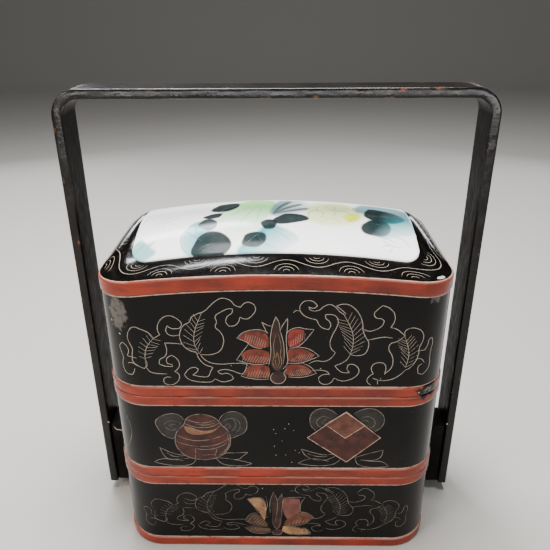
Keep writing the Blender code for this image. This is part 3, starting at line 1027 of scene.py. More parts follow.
# %% Lotus fronts
LIFT = 0.03
STEM_HEIGHT = 150
SETTLED = 0.80
LOW_TIER = {"tall": 0.736, "foot_from": 130.5, "foot_to": 9.6}
FINISHES = {"red": petal_red, "bright": petal_bright, "gold": emblem_gold, "brown": petal_brown,
            "mauve": petal_mauve, "tan": emblem_tan}


def settle(strokes):
    """The left scroll sits low, so what lies under its stem is drawn up clear of the band."""
    return [[(x, y if y > STEM_HEIGHT else STEM_HEIGHT - (STEM_HEIGHT - y) * SETTLED) for x, y in stroke]
            for stroke in strokes]


def moved(strokes, shift=0.0, wide=1.0, tall=1.0, foot_from=0.0, foot_to=0.0):
    return [[(x * wide + shift, foot_to + (y - foot_from) * tall) for x, y in stroke] for stroke in strokes]


def flower(name, petals, edges, combs, bud, base, line, comb_line):
    """A filled flower: petals, combed strokes in their lower halves, the bud and the drawn edges."""
    for petal, points in petals.items():
        finish = FINISHES[petal.split("_")[0]]
        draw(name + "_petal_" + petal, [points], on_wall, finish, flat=True, lift=LIFT)
    draw(name + "_bud", [bud], on_wall, bud_brown, flat=True, lift=LIFT + 0.02)
    draw(name + "_bud_base", [base], on_wall, bud_brown, flat=True, lift=LIFT)
    draw(name + "_petal_edges", edges, on_wall, line, width=0.38, lift=LIFT + 0.03)
    strokes = [stroke for row in combs for stroke in comb(*row)]
    draw(name + "_petal_combs", strokes, on_wall, comb_line, width=0.30, lift=LIFT + 0.04, steps=2)


def scroll(name, line, width, **place):
    draw(name + "_scroll", moved(settle(SCROLL_LEFT) + SCROLL_RIGHT, **place), on_wall, line, width=width)
    draw(name + "_veins", moved(leaf_veins, **place), on_wall, line, width=0.75 * width, steps=2)


top_lines = TOP_EDGES + LOTUS_LINES
flower("top_front", TOP_PETALS, top_lines, TOP_COMBS, TOP_BUD, TOP_BASE, cream_line, cream_line)
draw("top_front_flames", FLAME_LINES, on_wall, gold_line, width=0.32, lift=LIFT + 0.03, steps=4)
scroll("top_front", cream_line, 0.40)
low_lines = LOW_EDGES + LOW_LINES
flower("bottom_front", LOW_PETALS, low_lines, LOW_COMBS, LOW_BUD, LOW_BASE, worn_line, gold_line)
scroll("bottom_front", faint_line, 0.34, wide=0.97, shift=-1.0, **LOW_TIER)

# %% [markdown]
# ## Beribboned emblems
# The middle front shows two old good-luck emblems tied with ribbons: a ball and a lozenge. Each has a
# filled body with lines over it, and the loops of its ribbons are filled with a thin grey.

# %% The ball
BALL = [(-46, 76), (-56, 78.4), (-62.4, 85), (-63.8, 93), (-61.6, 100), (-57.6, 104.4), (-56, 108.6),
        (-52, 111.6), (-46.5, 112.6), (-40, 111), (-35.8, 107.8), (-33.8, 104.4), (-30.6, 100.6),
        (-28.6, 93.4), (-30.2, 85.6), (-36.6, 78.6)]
BALL_SWOOSH = [(-57.8, 103.4), (-53.6, 102.6), (-47, 100), (-40, 100.4), (-35.6, 102.6), (-38.6, 99.4),
               (-45, 97.2), (-51, 96.6), (-55.6, 98.4)]
BALL_LINES = [
    [(-57.2, 105.6), (-53, 103.4), (-46, 102.2), (-39.4, 103.4), (-34.6, 106.4)],
    [(-57.6, 103), (-53, 101.2), (-46, 99.4), (-38.4, 100.8), (-33.6, 104.6)],
    [(-55.6, 108.6), (-50, 106.4), (-44, 106), (-38, 108)],
    [(-50, 105), (-44, 104.2), (-38, 105.8)],
    [(-62, 96), (-55, 92.6), (-46, 92), (-36.6, 94.6), (-30, 98.6)],
    [(-63, 91), (-55, 88), (-46, 87.2), (-36, 89.4), (-29.4, 94)],
    [(-52, 85.6), (-45, 84.6), (-37, 86.4), (-31, 90)],
    [(-30.6, 97), (-29.6, 90), (-32.4, 84), (-37, 79.4)],
    [(-52, 77), (-51.4, 84.6)],
    [(-37.6, 85), (-39, 79.4)],
    [(-47, 80), (-38, 81)],
]
BALL_RIBBONS = [
    [(-57, 108.4), (-60.4, 112), (-66, 112.8), (-71.6, 110.6), (-75, 107), (-73.6, 100.6), (-70.2, 95.6),
     (-65.4, 93.2), (-62.4, 95.4)],
    [(-58.6, 104.6), (-62, 106.8), (-66.4, 107.2), (-69.6, 105), (-68.4, 101.6), (-65, 100), (-61.6, 101.6)],
    [(-60.6, 103.4), (-64, 104.8), (-66.6, 103.6), (-64.6, 101.8)],
    [(-35.6, 106.8), (-33.6, 111), (-28.4, 114.4), (-22.8, 113.8), (-19, 110), (-18, 103), (-19.4, 99),
     (-24, 95.8), (-29.6, 93.2)],
    [(-34.4, 104.6), (-31, 108.6), (-26.6, 109.4), (-24.8, 105.6), (-26.4, 101), (-29.6, 98.4)],
    [(-33, 102.6), (-29.6, 105.4), (-28, 103.4), (-30.6, 100.8)],
    [(-28, 110.6), (-23.6, 108), (-22.2, 102.4), (-25, 98)],
    [(-57.6, 79.4), (-62, 80.2), (-66.4, 81.6), (-74.2, 86), (-72.2, 80), (-69.4, 76.8), (-62, 76.6),
     (-56, 77.6)],
    [(-70, 81.6), (-66, 79), (-60, 78.4)],
    [(-51.6, 76.2), (-53.6, 73.2), (-58, 71.4), (-66, 71.2), (-73, 72.4), (-78.8, 74.2), (-74, 76.6),
     (-66, 76.2), (-60, 75.4)],
    [(-37, 79), (-32.4, 81.6), (-26, 82), (-17.8, 82.6), (-21, 79.6), (-24, 76.8), (-31, 77.2)],
    [(-38.8, 77.6), (-33, 77.6), (-26, 76.2), (-20, 74.8), (-15.4, 73.2), (-20, 71.6), (-28, 71.4),
     (-34.6, 73), (-38.8, 77.6)],
]
print("ball lines", len(BALL_LINES), "ribbon lines", len(BALL_RIBBONS))

# %% [markdown]
# The lozenge has straight sides. Its outline gets extra points close to each corner, so that the soft
# curve through them stays straight along a side and turns only at its end.

# %% The lozenge
RIBBON_LOOPS = [
    [(-57.4, 108), (-60.4, 111.8), (-66, 112.6), (-71.4, 110.4), (-74.8, 107), (-73.4, 100.8), (-70, 95.8),
     (-65.4, 93.6), (-62.2, 97), (-59, 103)],
    [(-34.8, 106.4), (-32.4, 111), (-28.2, 114), (-22.8, 113.4), (-19.2, 109.8), (-18.4, 103),
     (-19.8, 99.2), (-24.2, 96.2), (-29.4, 95), (-31, 101.4)],
    [(38, 111.6), (33, 116.2), (27, 116.6), (22.8, 113.4), (21.8, 108), (22.8, 103.6), (25.4, 100.8),
     (31, 105.8)],
    [(48.8, 112.6), (53, 116), (59, 117), (64.2, 114.4), (67, 109.4), (65.8, 103.8), (61.8, 99.8),
     (55.6, 105.4)],
]
LOZENGE = [(43.6, 115), (66, 94.8), (45.4, 75), (20, 94.6)]
LOZENGE_INNER = [(43.6, 114.2), (55.8, 104.4), (43.8, 94.4), (31, 105.2)]
LOZENGE_RIBBONS = [
    [(38.6, 112.4), (33, 116.6), (27, 117), (22.6, 113.6), (21.4, 108), (22.4, 103.6), (25, 100.2)],
    [(34, 109.8), (29.6, 111.6), (26, 108.6), (26.4, 104.4), (30, 102.4)],
    [(34.6, 107.6), (31, 109), (28.8, 106.8), (30.6, 104.8)],
    [(48.4, 113.4), (53, 116.4), (59, 117.4), (64.6, 114.6), (67.4, 109.4), (66.2, 103.6), (62, 99.4)],
    [(53, 110), (57, 111.4), (61.4, 108.4), (61.2, 104), (58.4, 102.4)],
    [(53, 107.4), (56.4, 108.2), (58.6, 106), (56.8, 103.6)],
    [(36.4, 81.4), (31, 80.8), (26, 82), (16.2, 85.4), (19, 80.4), (24, 77.2), (32, 76.6), (38, 79.6)],
    [(20.4, 81.6), (26, 79.6), (33, 79.2)],
    [(41.4, 77), (38, 73.6), (32, 72), (24, 71.8), (14.2, 73.6), (19.6, 76.8), (27, 77.4), (34, 75.4)],
    [(50.4, 78.4), (55.4, 80.6), (61, 82.6), (68.4, 85), (67.2, 79.4), (63.6, 76.8), (55, 76.6)],
    [(51, 78), (52.4, 73.8), (58, 71.2), (66, 70.6), (73, 71.6), (69, 75), (61, 75.8), (54.6, 76.8)],
]


def corners_only(points):
    """A straight-sided outline: points spaced along each side, so that a soft curve stays straight."""
    dense = []
    for place, point in enumerate(points):
        ahead = points[(place + 1) % len(points)]
        dense += [tuple(Vector(point).lerp(Vector(ahead), share)) for share in (0.0, 0.02, 0.5, 0.98)]
    return dense


lozenge_sides = [corners_only(LOZENGE), corners_only(LOZENGE_INNER)]
lozenge_edges = [side + side[:1] for side in lozenge_sides]
print("lozenge points", [len(side) for side in lozenge_sides])

# %% [markdown]
# Each filling and each set of lines has its own lift of a few hundredths of a millimetre, so that
# nothing flickers where they cross: ribbons lowest, then the body, then the lines over it.

# %% Drawing the emblems
draw("ball_filling", [BALL], on_wall, emblem_red, flat=True, lift=LIFT)
draw("ball_swoosh", [BALL_SWOOSH], on_wall, emblem_gold, flat=True, lift=LIFT + 0.04)
draw("ball_edge", [BALL + BALL[:1]], on_wall, worn_line, width=0.42, lift=LIFT + 0.03)
draw("ball_bands", BALL_LINES, on_wall, worn_line, width=0.40, lift=LIFT + 0.05)
for number, loop in enumerate(RIBBON_LOOPS):
    draw("ribbon_loop_" + str(number + 1), [loop], on_wall, ribbon_grey, flat=True, lift=LIFT - 0.02)
draw("ball_ribbons", BALL_RIBBONS, on_wall, worn_line, width=0.40, lift=0.01)
draw("lozenge_filling", lozenge_sides[:1], on_wall, emblem_red, flat=True, lift=LIFT)
draw("lozenge_inner_filling", lozenge_sides[1:], on_wall, emblem_tan, flat=True, lift=LIFT + 0.03)
draw("lozenge_edges", lozenge_edges, on_wall, edge_line, width=0.5, lift=LIFT + 0.04)
draw("lozenge_ribbons", LOZENGE_RIBBONS, on_wall, worn_line, width=0.40, lift=0.01)

# %% [markdown]
# The ends and the back are plainer. Each end has one feathered leaf on the high and the low tier,
# and the back repeats the scroll in lines alone, without coloured petals. On the left one ribbon of
# the middle tier reaches round the corner.

# %% Ends and back
LEAF_MIDDLE = 33
LOZENGE_MIDDLE = 43.6
FACE_ROUND = round_length(FACE) / MM
end_leaf = SCROLL_RIGHT[:2] + SCROLL_RIGHT[3:6] + veins(*MIDRIBS[2])
end_lozenge = lozenge_edges + LOZENGE_RIBBONS
for side, spot in (("right", FACE_ROUND / 4), ("left", -FACE_ROUND / 4)):
    leaf, low_leaf = moved(end_leaf, spot - LEAF_MIDDLE), moved(end_leaf, spot - LEAF_MIDDLE, **LOW_TIER)
    lozenge = moved(end_lozenge, spot - LOZENGE_MIDDLE)
    draw("top_" + side + "_leaf", leaf, on_wall, worn_line, width=0.5, steps=4)
    draw("middle_" + side + "_lozenge", lozenge, on_wall, worn_line, width=0.45, steps=4)
    draw("bottom_" + side + "_leaf", low_leaf, on_wall, worn_line, width=0.5, steps=4)
CORNER_RIBBON = [(-133, 108), (-124, 114.6), (-112, 117), (-103, 115.6), (-98.8, 113.2), (-95.1, 106.1),
                 (-92.8, 97.6), (-93.8, 90.7), (-99.9, 80.7), (-110, 75.6), (-124, 73.6)]
draw("middle_left_ribbon", [CORNER_RIBBON], on_wall, worn_line, width=0.4, steps=4)
back_lines = SCROLL_RIGHT[:11] + settle(SCROLL_LEFT[:9]) + LOTUS_LINES + TOP_EDGES
low_back_lines = moved(back_lines, FACE_ROUND / 2, **LOW_TIER)
draw("top_back_scroll", moved(back_lines, FACE_ROUND / 2), on_wall, worn_line, width=0.5, steps=4)
draw("bottom_back_scroll", low_back_lines, on_wall, worn_line, width=0.5, steps=4)

# %% [markdown]
# ## Wave border
# The border of the lid carries a rolling wave with small nested arcs under each crest and over each
# trough, like water on old textiles. Its drawing is made in lengths round the lid and in shares
# across the border, so one function lays it on the swelling surface.

# %% Wave lines on the lid
WAVE_RING = (BOX_WIDTH - 20 * MM, BOX_DEPTH - 20 * MM, RADIUS - 10 * MM)
WAVE_COUNT = 16
WAVE_SHIFT = 6.8
WAVE_MIDDLE = 9.4
WAVE_SWING = 2.9
ARC_HALF = 7.2
ARC_TALL = 6.0
ARC_SIZES = (1.0, 0.62, 0.26)
CREST_FOOT = 2.8
TROUGH_FOOT = 15.6
BORDER_WIDE = 19.0


def on_border(x, y, lift):
    """A drawing's place on the border: a length round it and the millimetres in from the band."""
    along, aim = walk(WAVE_RING, x)
    return border(max(0.02, min(0.98, y / MM / BORDER_WIDE)), lift)(along, aim)


wave_round = round_length(WAVE_RING) / MM
wave_length = wave_round / WAVE_COUNT


def rolling(x):
    return WAVE_MIDDLE + WAVE_SWING * math.cos(2 * math.pi * (x - WAVE_SHIFT) / wave_length)


wave_steps = 8 * WAVE_COUNT
lengths = [wave_round * step / wave_steps for step in range(wave_steps + 1)]
wave = [[(length, rolling(length)) for length in lengths]]
turns = [math.pi * (0.06 + 0.88 * step / 6) for step in range(7)]
arcs = []
hand = random.Random(11)
for number in range(2 * WAVE_COUNT):
    middle = WAVE_SHIFT + number * wave_length / 2 + hand.uniform(-0.8, 0.8)
    foot, up = (TROUGH_FOOT, -1) if number % 2 else (CREST_FOOT, 1)
    for size in ARC_SIZES:
        half, tall = ARC_HALF * size, up * ARC_TALL * size
        arcs.append([(middle + half * math.cos(turn), foot + tall * math.sin(turn)) for turn in turns])
draw("lid_wave", wave, on_border, cream_line, width=0.30, lift=0.02, steps=3)
draw("lid_wave_arcs", arcs, on_border, cream_line, width=0.22, lift=0.02, steps=3)
print("waves", WAVE_COUNT, "of mm", round(wave_length, 1))

# %% [markdown]
# ## Knocks and chips
# Real damage is small and has a cause: the lid's corner is knocked where it is set down, the joint is
# scratched where a nail opened it, and pins show where the legs are fixed to their blocks. The pale
# line along the left block's top edge is partly a scratch and partly a painted highlight. A chip is
# an uneven outline whose points a seeded random number pulls in or out.

# %% Wear
def blot(x, y, wide, tall, seed, points=8):
    """An uneven closed outline, like a chip."""
    dice = random.Random(seed)
    outline = []
    for step in range(points):
        turn = 2 * math.pi * step / points
        out = x + wide * dice.uniform(0.6, 1.1) * math.cos(turn)
        outline.append((out, y + tall * dice.uniform(0.6, 1.1) * math.sin(turn)))
    return outline


def before(front):
    """A place function for a mark on an upright face that looks to the front."""
    return lambda x, y, lift: (x, front - lift, y)


on_leg = before(handle_low[1])
on_block = before(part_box("left_block")[0][1])
on_band = round_the(BOX)
chips = [blot(-97, 176, 0.7, 0.9, 1), blot(-91.5, 168.5, 0.8, 0.6, 2)]
specks = [(-1.2, 101), (0.2, 97.8), (5.8, 101.6), (8.2, 105.4), (11.3, 100.4), (-0.8, 87.6), (0.1, 80.4),
          (6.3, 80.5), (12.4, 84.4), (15, 82.5), (10.4, 74.5), (4, 92), (-26, 148.4), (27, 146.6),
          (63, 139.4), (-9, 52)]
chips += [blot(x, y, 0.34, 0.34, 20 + number, 5) for number, (x, y) in enumerate(specks)]
for number, chip in enumerate(chips):
    draw("wall_chip_" + str(number + 1), [chip], on_wall, bare_ground, flat=True, lift=0.02, steps=2)
draw("lid_corner_chip", [blot(90.4, 1.9, 2.6, 1.1, 4)], on_border, bare_ground, flat=True, lift=0.05, steps=3)
for number, (x, z) in enumerate(((-124.4, 64), (124.4, 64))):
    pin = blot(x, z, 0.7, 0.7, 5 + number, 10)
    name = "leg_pin_" + str(number + 1)
    draw(name, [pin], on_leg, bare_ground, flat=True, lift=0.02, steps=3)
# A pale line along the left block's top edge: partly a scratch, partly a painted highlight of that edge.
block_edge_line = [(-121.6, 58.2), (-119.7, 55.8), (-118, 55.5), (-115.2, 54.8), (-112, 54.9)]
draw("block_scratch_and_highlight", [block_edge_line], on_block, bare_ground, width=0.55, steps=3)
draw("joint_spot", [blot(87, 129.2, 0.6, 0.5, 9)], on_band, bare_ground, flat=True, lift=0.05, steps=2)
scratches = [[(91, 128), (93.5, 131.4)], [(94.5, 128), (95.6, 131)], [(90, 129.4), (95, 130.6)]]
draw("joint_scratches", scratches, on_band, bare_ground, width=0.28, lift=0.02, steps=2)


def on_strap_top(x, y, lift):
    """A mark's place on the strap's back edge, kept just under its highest point."""
    return x, handle_high[1] - STRAP_EASE + y, handle_high[2] - 0.1 * MM + min(lift, 0.09 * MM)


wear = [(98, 0), (106, 0.4), (114, 0.1), (121, 0.3)]
draw("strap_edge_wear", [wear], on_strap_top, petal_bright, width=0.6, steps=3)
print("chips", len(chips), "scratches", len(scratches) + 1)

# %% [markdown]
# ## The porcelain
# The plate is cut from a curved piece of glazed porcelain with brush-painted leaves. Washes run soft
# into each other under the glaze, so they are colours on the points of a fine grid. A wash is a tone,
# its strength, how many millimetres its edge takes to run out, its outline and, for some, the two
# points between which it fades.

# %% Washes
def depth_inside(points, outline):
    """How many millimetres each point lies inside a closed soft outline, negative outside it."""
    loop = outline + outline[:3]
    edge = [tuple(here) for here, _ in soft_line(loop, 6 * len(loop))][6:-11]
    inside = np.zeros(len(points), bool)
    near = np.full(len(points), 1e9)
    for (ax, ay), (bx, by) in zip(edge, edge[1:] + edge[:1]):
        way = np.array((bx - ax, by - ay))
        away = points - np.array((ax, ay))
        share = np.clip(away @ way / max(1e-9, way @ way), 0, 1)
        near = np.minimum(near, np.hypot(*(away - share[:, None] * way).T))
        crosses = (ay > points[:, 1]) != (by > points[:, 1])
        rise = by - ay if by != ay else 1e-9
        inside ^= crosses & (points[:, 0] < ax + (points[:, 1] - ay) * way[0] / rise)
    return np.where(inside, near, -near)


def wash(colour, points, tone, strength, soft, outline, fade=None):
    """Lay a tone inside an outline, soft at its edge. It may fade from one point to another."""
    cover = np.clip(0.5 + depth_inside(points, outline) / soft, 0, 1)
    cover = cover * cover * (3 - 2 * cover) * strength
    if fade:
        begin, end = np.array(fade[0]), np.array(fade[1])
        way = end - begin
        cover *= 1 - np.clip((points - begin) @ way / (way @ way), 0, 1)
    return colour * (1 - cover[:, None]) + np.array(linear(tone)[:3]) * cover[:, None]


TEAL, SEA, NIGHT, PALE = "#43a0aa", "#6faaa8", "#152223", "#98dc88"
WASHES = [
    (SEA, 0.9, 2.5, [(-86, -43), (-85, -35), (-81, -29), (-76, -34), (-71, -31), (-74, -36), (-70, -41),
        (-78, -46)]),
    (TEAL, 0.9, 3, [(-56, -30), (-52, -21), (-46, -18), (-40, -24), (-38, -34), (-42, -44), (-50, -46),
        (-55, -39)], ((-46, -30), (-76, -36))),
    (PALE, 1.0, 1.6, [(-35, -12), (-26, 6), (-15, 18), (-3, 15), (0, 2), (-3, -12), (-8, -21), (-11, -30),
        (-18, -35), (-28, -34), (-36, -24)], ((-12, 2), (-22, -38))),
    (TEAL, 1.0, 3, [(-22, -44), (-13, -33), (-4, -24), (6, -28), (14, -36), (6, -44), (-4, -47), (-16, -47)],
        ((-8, -30), (12, -52))),
    ("#5d8486", 0.9, 3, [(-3, -13), (2, 14), (12, 17), (19, 12), (21, -4), (13, -11)], ((2, 4), (26, 0))),
    ("#dde8a6", 0.9, 5, [(19, -6), (24, 8), (36, 12), (49, 9), (55, -8), (48, -19), (38, -23), (27, -23),
        (20, -18)]),
    ("#c9d593", 0.8, 4, [(30, 4), (36, 9), (44, 8), (48, 0), (40, -6), (32, -4)]),
    ("#d6de3c", 1.0, 2, [(42, -13), (46, -8), (52, -9), (51, -15), (47, -19), (43, -17)]),
    ("#5b8d92", 0.9, 4, [(50, -4), (56, 14), (80, 14), (86, -2), (82, -10), (66, -6)]),
    (TEAL, 1.0, 3, [(62, -10), (80, -6), (86, -16), (84, -24), (72, -29), (63, -31), (56, -22)],
        ((66, -16), (76, -38))),
    (NIGHT, 0.985, 0.7, [(-49, -44), (-46, -33), (-40, -28.5), (-33, -29.5), (-27, -35), (-25.6, -41),
        (-30, -46), (-41, -47)]),
    (NIGHT, 0.985, 0.7, [(-47, -21.5), (-44.6, -16.6), (-38.8, -16), (-35.4, -20.4), (-37, -26.4),
        (-42.4, -26.6)]),
    (NIGHT, 0.985, 0.8, [(-45, -13.4), (-40, -9.8), (-33.4, -9.2), (-35, -14.6), (-41.4, -15.8)]),
    (NIGHT, 0.985, 0.9, [(-41, -4), (-36, 7), (-25, 9.6), (-23.6, 1), (-28.6, -6), (-36, -7.4)]),
    (NIGHT, 0.985, 0.8, [(-19.2, -40), (-18, -33), (-12.2, -30.4), (-6, -32), (-5.6, -38), (-11, -42)]),
    (NIGHT, 0.985, 0.7, [(-9, -22.6), (-5.4, -18.8), (0.8, -20.2), (-0.6, -27.4), (-6.2, -28)]),
    (NIGHT, 0.985, 0.8, [(-1.6, -19.2), (6, -12), (16.4, -12.8), (20.6, -18), (13.6, -21.6), (2.2, -23.8)]),
    (NIGHT, 0.985, 1.4, [(55, -8), (60, 4), (74, 1), (81, -8), (74, -15), (64, -15.4), (58, -13.4)],
        ((66, -4), (98, -14))),
    (NIGHT, 0.985, 1.4, [(51.8, -22.6), (58, -14.6), (68.6, -15.4), (70, -23), (64.6, -29.6), (54, -28.8)],
        ((62, -20), (86, -34))),
    (SEA, 0.7, 4, [(-44, 22), (-30, 34), (-12, 34), (-16, 24), (-30, 18)]),
    (PALE, 0.8, 4, [(10, 24), (24, 38), (44, 34), (36, 22)]),
    (NIGHT, 0.8, 1.2, [(-10, 28), (2, 36), (10, 30), (0, 24)]),
]
STEM = (-2, -12)
BLADE_HALF = 1.9
for degrees in (62, 38, 16):
    along, up = math.cos(math.radians(degrees)), math.sin(math.radians(degrees))
    tip_x, tip_y = -1 + 20 * along, -11 + 24 * up
    side_x, side_y = BLADE_HALF * up, -BLADE_HALF * along
    blade = [STEM, (tip_x + side_x, tip_y + side_y), (tip_x - side_x, tip_y - side_y)]
    WASHES.append((NIGHT, 0.75, 1.6, blade))
print("washes", len(WASHES))

# %% [markdown]
# The glaze is one clear coat over the paint, with a very slight swell. It pools a little greyer here
# and there. The plate itself is a grid with rounded corners, bent to the dome, and it is closed
# underneath.

# %% Glaze and plate
GRID_ACROSS = 300
GRID_DEEP = 160
WHITE = "#f7f8f6"
POOLED = "#bcccca"
RIM_EASE = 1.2 * MM
RIM_DROP = 0.35 * MM


def row_half(y):
    """Half the plate's width at a depth, less in the rounded corners."""
    over = abs(y) - (PANEL_DEPTH / 2 - PANEL_RADIUS)
    if over <= 0:
        return PANEL_WIDTH / 2
    return PANEL_WIDTH / 2 - PANEL_RADIUS + math.sqrt(max(0.0, PANEL_RADIUS ** 2 - over ** 2))


def painted(points):
    """Linear colours for points in millimetres on the plate."""
    colour = np.tile(np.array(linear(WHITE)[:3]), (len(points), 1))
    for entry in WASHES:
        colour = wash(colour, points, *entry)
    return colour


def glazed_porcelain(name):
    """Feldspar glaze over painted porcelain: smooth, hard, with crisp reflections."""
    material, tree, shader, place = start(name, 0.14, shine=0.10)
    paint = add(tree, "Attribute", {"attribute_name": "paint"}).outputs["Color"]
    pooled = threshold(tree, grain(tree, place, 6, 4), 0.35, 0.8, 0.0, 0.03)
    normal = swell(tree, place, 0.05, 0.0005, 12, 2)
    feed(tree, shader, {"Base Color": blend(tree, pooled, paint, POOLED), "Normal": normal})
    return material


def porcelain_plate():
    bm = bmesh.new()
    bmesh.ops.create_grid(bm, x_segments=GRID_ACROSS, y_segments=GRID_DEEP, size=0.5)
    for vert in bm.verts:
        y = vert.co.y * PANEL_DEPTH
        x = vert.co.x * 2 * row_half(y)
        rim = min(row_half(y) - abs(x), PANEL_DEPTH / 2 - abs(y))
        round_off = RIM_DROP * max(0.0, 1 - rim / RIM_EASE) ** 2
        vert.co = (x, y, dome(x, y) - round_off)
    edge = [edge for edge in bm.edges if edge.is_boundary]
    for share in (1.0, 0.75, 0.5, 0.25, 0.06):
        verts = pick(bmesh.ops.extrude_edge_only(bm, edges=edge)["geom"], bmesh.types.BMVert)
        for vert in verts:
            x, y = vert.co.x * share, vert.co.y * share
            vert.co = (x, y, dome(x, y) - PANEL_THICKNESS)
        edge = rim_of(verts)
    bmesh.ops.contextual_create(bm, geom=edge)
    glaze = glazed_porcelain("glazed_porcelain")
    data = finish_piece(bm, "porcelain_plate", (glaze,), ("porcelain_panel",), 50).data
    places = np.empty(len(data.vertices) * 3)
    data.vertices.foreach_get("co", places)
    places = places.reshape(-1, 3)
    colours = np.ones((len(places), 4))
    colours[:, :3] = painted(places[:, :2] / MM)
    layer = data.color_attributes.new("paint", "FLOAT_COLOR", "POINT")
    layer.data.foreach_set("color", colours.ravel())
    print("plate top mm", round(places[:, 2].max() / MM, 2), "low mm", round(places[:, 2].min() / MM, 2))


porcelain_plate()

# %% [markdown]
# A fine brush draws stems, veins and outlines over the washes. These lines are open strokes like the
# needle's, laid on the dome.

# %% Ink lines on the plate
ink = filled_line("brush_ink", "#2e3a3c", "#7d8b8b", 0.50)
INK_LINES = [
    [(-56, -28), (-56, -35), (-53, -42), (-49, -45)],
    [(-55, -26), (-50, -30), (-43, -36)],
    [(-51, -21), (-46, -24), (-41, -26)],
    [(-45, -42), (-40, -39), (-35, -38), (-37, -41), (-43, -43)],
    [(-43, -15.8), (-47, -21), (-48, -28)],
    [(-36, -9), (-33, -3), (-27, 2), (-24, 9)],
    [(-24, 9), (-15, 18), (-6, 17), (-1, 10), (0, 0), (-4, -12)],
    [(-12, 8), (-20, -4), (-30, -16)],
    [(-10, 6), (-16, -10), (-22, -24)],
    [(-8, 5), (-10, -10), (-12, -22)],
    [(-10.5, -33), (-7, -38.5), (1, -43)],
    [(-2, -28.6), (4, -32.6), (9, -38)],
    [(-19, -42), (-13, -35), (-4, -27)],
    [(-2, -12), (6, 0), (10, 14)],
    [(-2, -12), (10, -2), (19, 6)],
    [(-2, -12), (10, -8), (20, -5)],
    [(20, -16), (22, -8), (27, -6), (30, -11), (27, -16)],
    [(26, -6), (28, 3), (34, 6), (38, 0), (35, -6)],
    [(36, -14), (38, -6), (44, -5), (47, -10)],
    [(38, 4), (44, 8), (50, 3), (48, -4)],
    [(28, -20), (34, -16), (40, -19)],
    [(44, -19), (48, -14), (52, -16)],
    [(58, -18), (66, -19), (76, -24)],
    [(57, -9), (66, -8), (78, -12)],
    [(60, -30), (66, -31), (72, -34)],
    [(62, -38), (66, -36), (69, -39), (66, -41)],
    [(70, -28), (76, -30), (80, -35)],
    [(64, -33), (68, -36), (74, -37)],
    [(-85, -42), (-80, -36), (-76, -32)],
    [(-76, -18), (-70, -12), (-61, -7)],
    [(-72, -20), (-66, -14), (-60, -12)],
]


def on_plate(x, y, lift):
    return x, y, dome(x, y) + lift


draw("plate_ink_lines", INK_LINES, on_plate, ink, width=0.32, steps=4)

# %% [markdown]
# ## Stage
# A pale floor that sweeps up behind, a soft room and a few broad lamps. The lamp behind puts the glare
# on the left of the lid's border, two small ones far back catch the border's ends, and the long low
# one in front lights the narrow face of the handle.

# %% Floor and light
FLOOR_HALF = 4.0
FLOOR_BACK = 2.4
SWEEP_RADIUS = 1.6
WALL_RISE = 2.4


def cove():
    """A floor that sweeps up behind, so that no horizon shows."""
    bm = bmesh.new()
    bmesh.ops.create_grid(bm, x_segments=1, y_segments=1, size=FLOOR_HALF)
    bmesh.ops.scale(bm, vec=(3, 1, 1), verts=bm.verts[:])
    bmesh.ops.translate(bm, vec=(0, FLOOR_BACK - FLOOR_HALF, 0), verts=bm.verts[:])
    back = [edge for edge in bm.edges if all(vert.co.y > FLOOR_BACK - 0.1 for vert in edge.verts)]
    swept = bmesh.ops.spin(bm, geom=back, cent=(0, FLOOR_BACK, SWEEP_RADIUS), axis=(1, 0, 0),
                           angle=math.radians(90), steps=24)
    risen = bmesh.ops.extrude_edge_only(bm, edges=pick(swept["geom_last"], bmesh.types.BMEdge))["geom"]
    bmesh.ops.translate(bm, vec=(0, 0, WALL_RISE), verts=pick(risen, bmesh.types.BMVert))
    bmesh.ops.recalc_face_normals(bm, faces=bm.faces[:])
    data = bpy.data.meshes.new("floor")
    bm.to_mesh(data)
    bm.free()
    material, _, shader, _ = start("pale_floor", 0.8)
    shader.inputs["Base Color"].default_value = linear("#a9a6a1")
    data.materials.append(material)
    data.shade_smooth()
    floor = bpy.data.objects.new("floor", data)
    bpy.context.scene.collection.objects.link(floor)


cove()

world = bpy.data.worlds.new("soft_room")
bpy.context.scene.world = world
world.use_nodes = True
room = world.node_tree.nodes["Background"].inputs
room["Color"].default_value = linear("#cfd2d6")
room["Strength"].default_value = 0.22


def lamp(name, place, target, size, power, colour="#ffffff"):
    """A square softbox that looks at a point."""
    light = bpy.data.lights.new(name, "AREA")
    light.shape = "RECTANGLE"
    light.size, light.size_y = size
    light.energy = power
    light.color = linear(colour)[:3]
    holder = bpy.data.objects.new(name, light)
    holder.location = place
    way = Vector(target) - Vector(place)
    holder.rotation_euler = way.to_track_quat("-Z", "Y").to_euler()
    bpy.context.scene.collection.objects.link(holder)


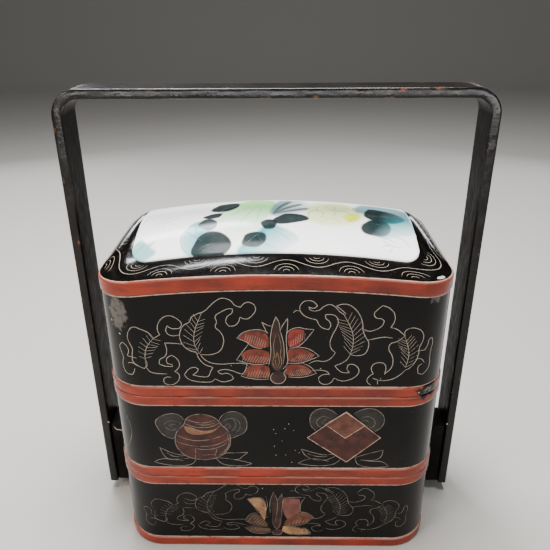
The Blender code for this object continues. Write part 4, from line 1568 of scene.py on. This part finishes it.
DAYLIGHT = "#f4f8ff"
lamp("window_behind", (-0.30, 0.50, 0.96), (-0.03, -0.04, 0.21), (0.42, 0.12), 14, DAYLIGHT)
lamp("sheen_left", (-0.65, 1.03, 0.36), (-0.09, 0, 0.21), (0.34, 0.2), 2.5, DAYLIGHT)
lamp("sheen_right", (0.65, 1.03, 0.36), (0.09, 0, 0.21), (0.34, 0.2), 2, DAYLIGHT)
lamp("room_left", (-0.85, -0.75, 0.75), (0, 0, 0.15), (0.35, 0.5), 11.5, "#fff3e4")
lamp("room_right", (0.95, -0.75, 0.9), (0, 0, 0.12), (0.5, 0.5), 1.5, "#f1f4ff")
lamp("overhead", (0.0, 0.05, 1.25), (0, 0, 0.2), (0.6, 0.45), 35)
lamp("room_front", (0.15, -1.9, 0.17), (0, 0, 0.25), (2.5, 0.3), 24)
print("lamps", len(bpy.data.lights))

# %% [markdown]
# The camera stands where the photographer stood. Its place, its three turns and its focal length in
# pixels were worked out from corners and joints of the box.

# %% Camera
CAMERA_AT = Vector((0.00577, -0.35428, 0.34089))
PITCH, YAW, ROLL = math.radians(24.714), math.radians(-1.077), math.radians(-0.411)
FOCAL_PIXELS, FRAME_PIXELS, FILM_WIDTH = 579.4, 550, 36.0
camera_data = bpy.data.cameras.new("camera")
camera_data.sensor_width = FILM_WIDTH
camera_data.lens = FILM_WIDTH * FOCAL_PIXELS / FRAME_PIXELS
camera_data.clip_start = 0.01
camera = bpy.data.objects.new("camera", camera_data)
ahead = Vector((math.sin(YAW) * math.cos(PITCH), math.cos(YAW) * math.cos(PITCH), -math.sin(PITCH)))
right = Vector((math.cos(YAW), -math.sin(YAW), 0))
above = right.cross(ahead)
turn_right = math.cos(ROLL) * right + math.sin(ROLL) * above
turn_above = -math.sin(ROLL) * right + math.cos(ROLL) * above
camera.matrix_world = Matrix((turn_right, turn_above, -ahead)).transposed().to_4x4()
camera.location = CAMERA_AT
bpy.context.scene.collection.objects.link(camera)
bpy.context.scene.camera = camera
print("lens mm", round(camera_data.lens, 2))
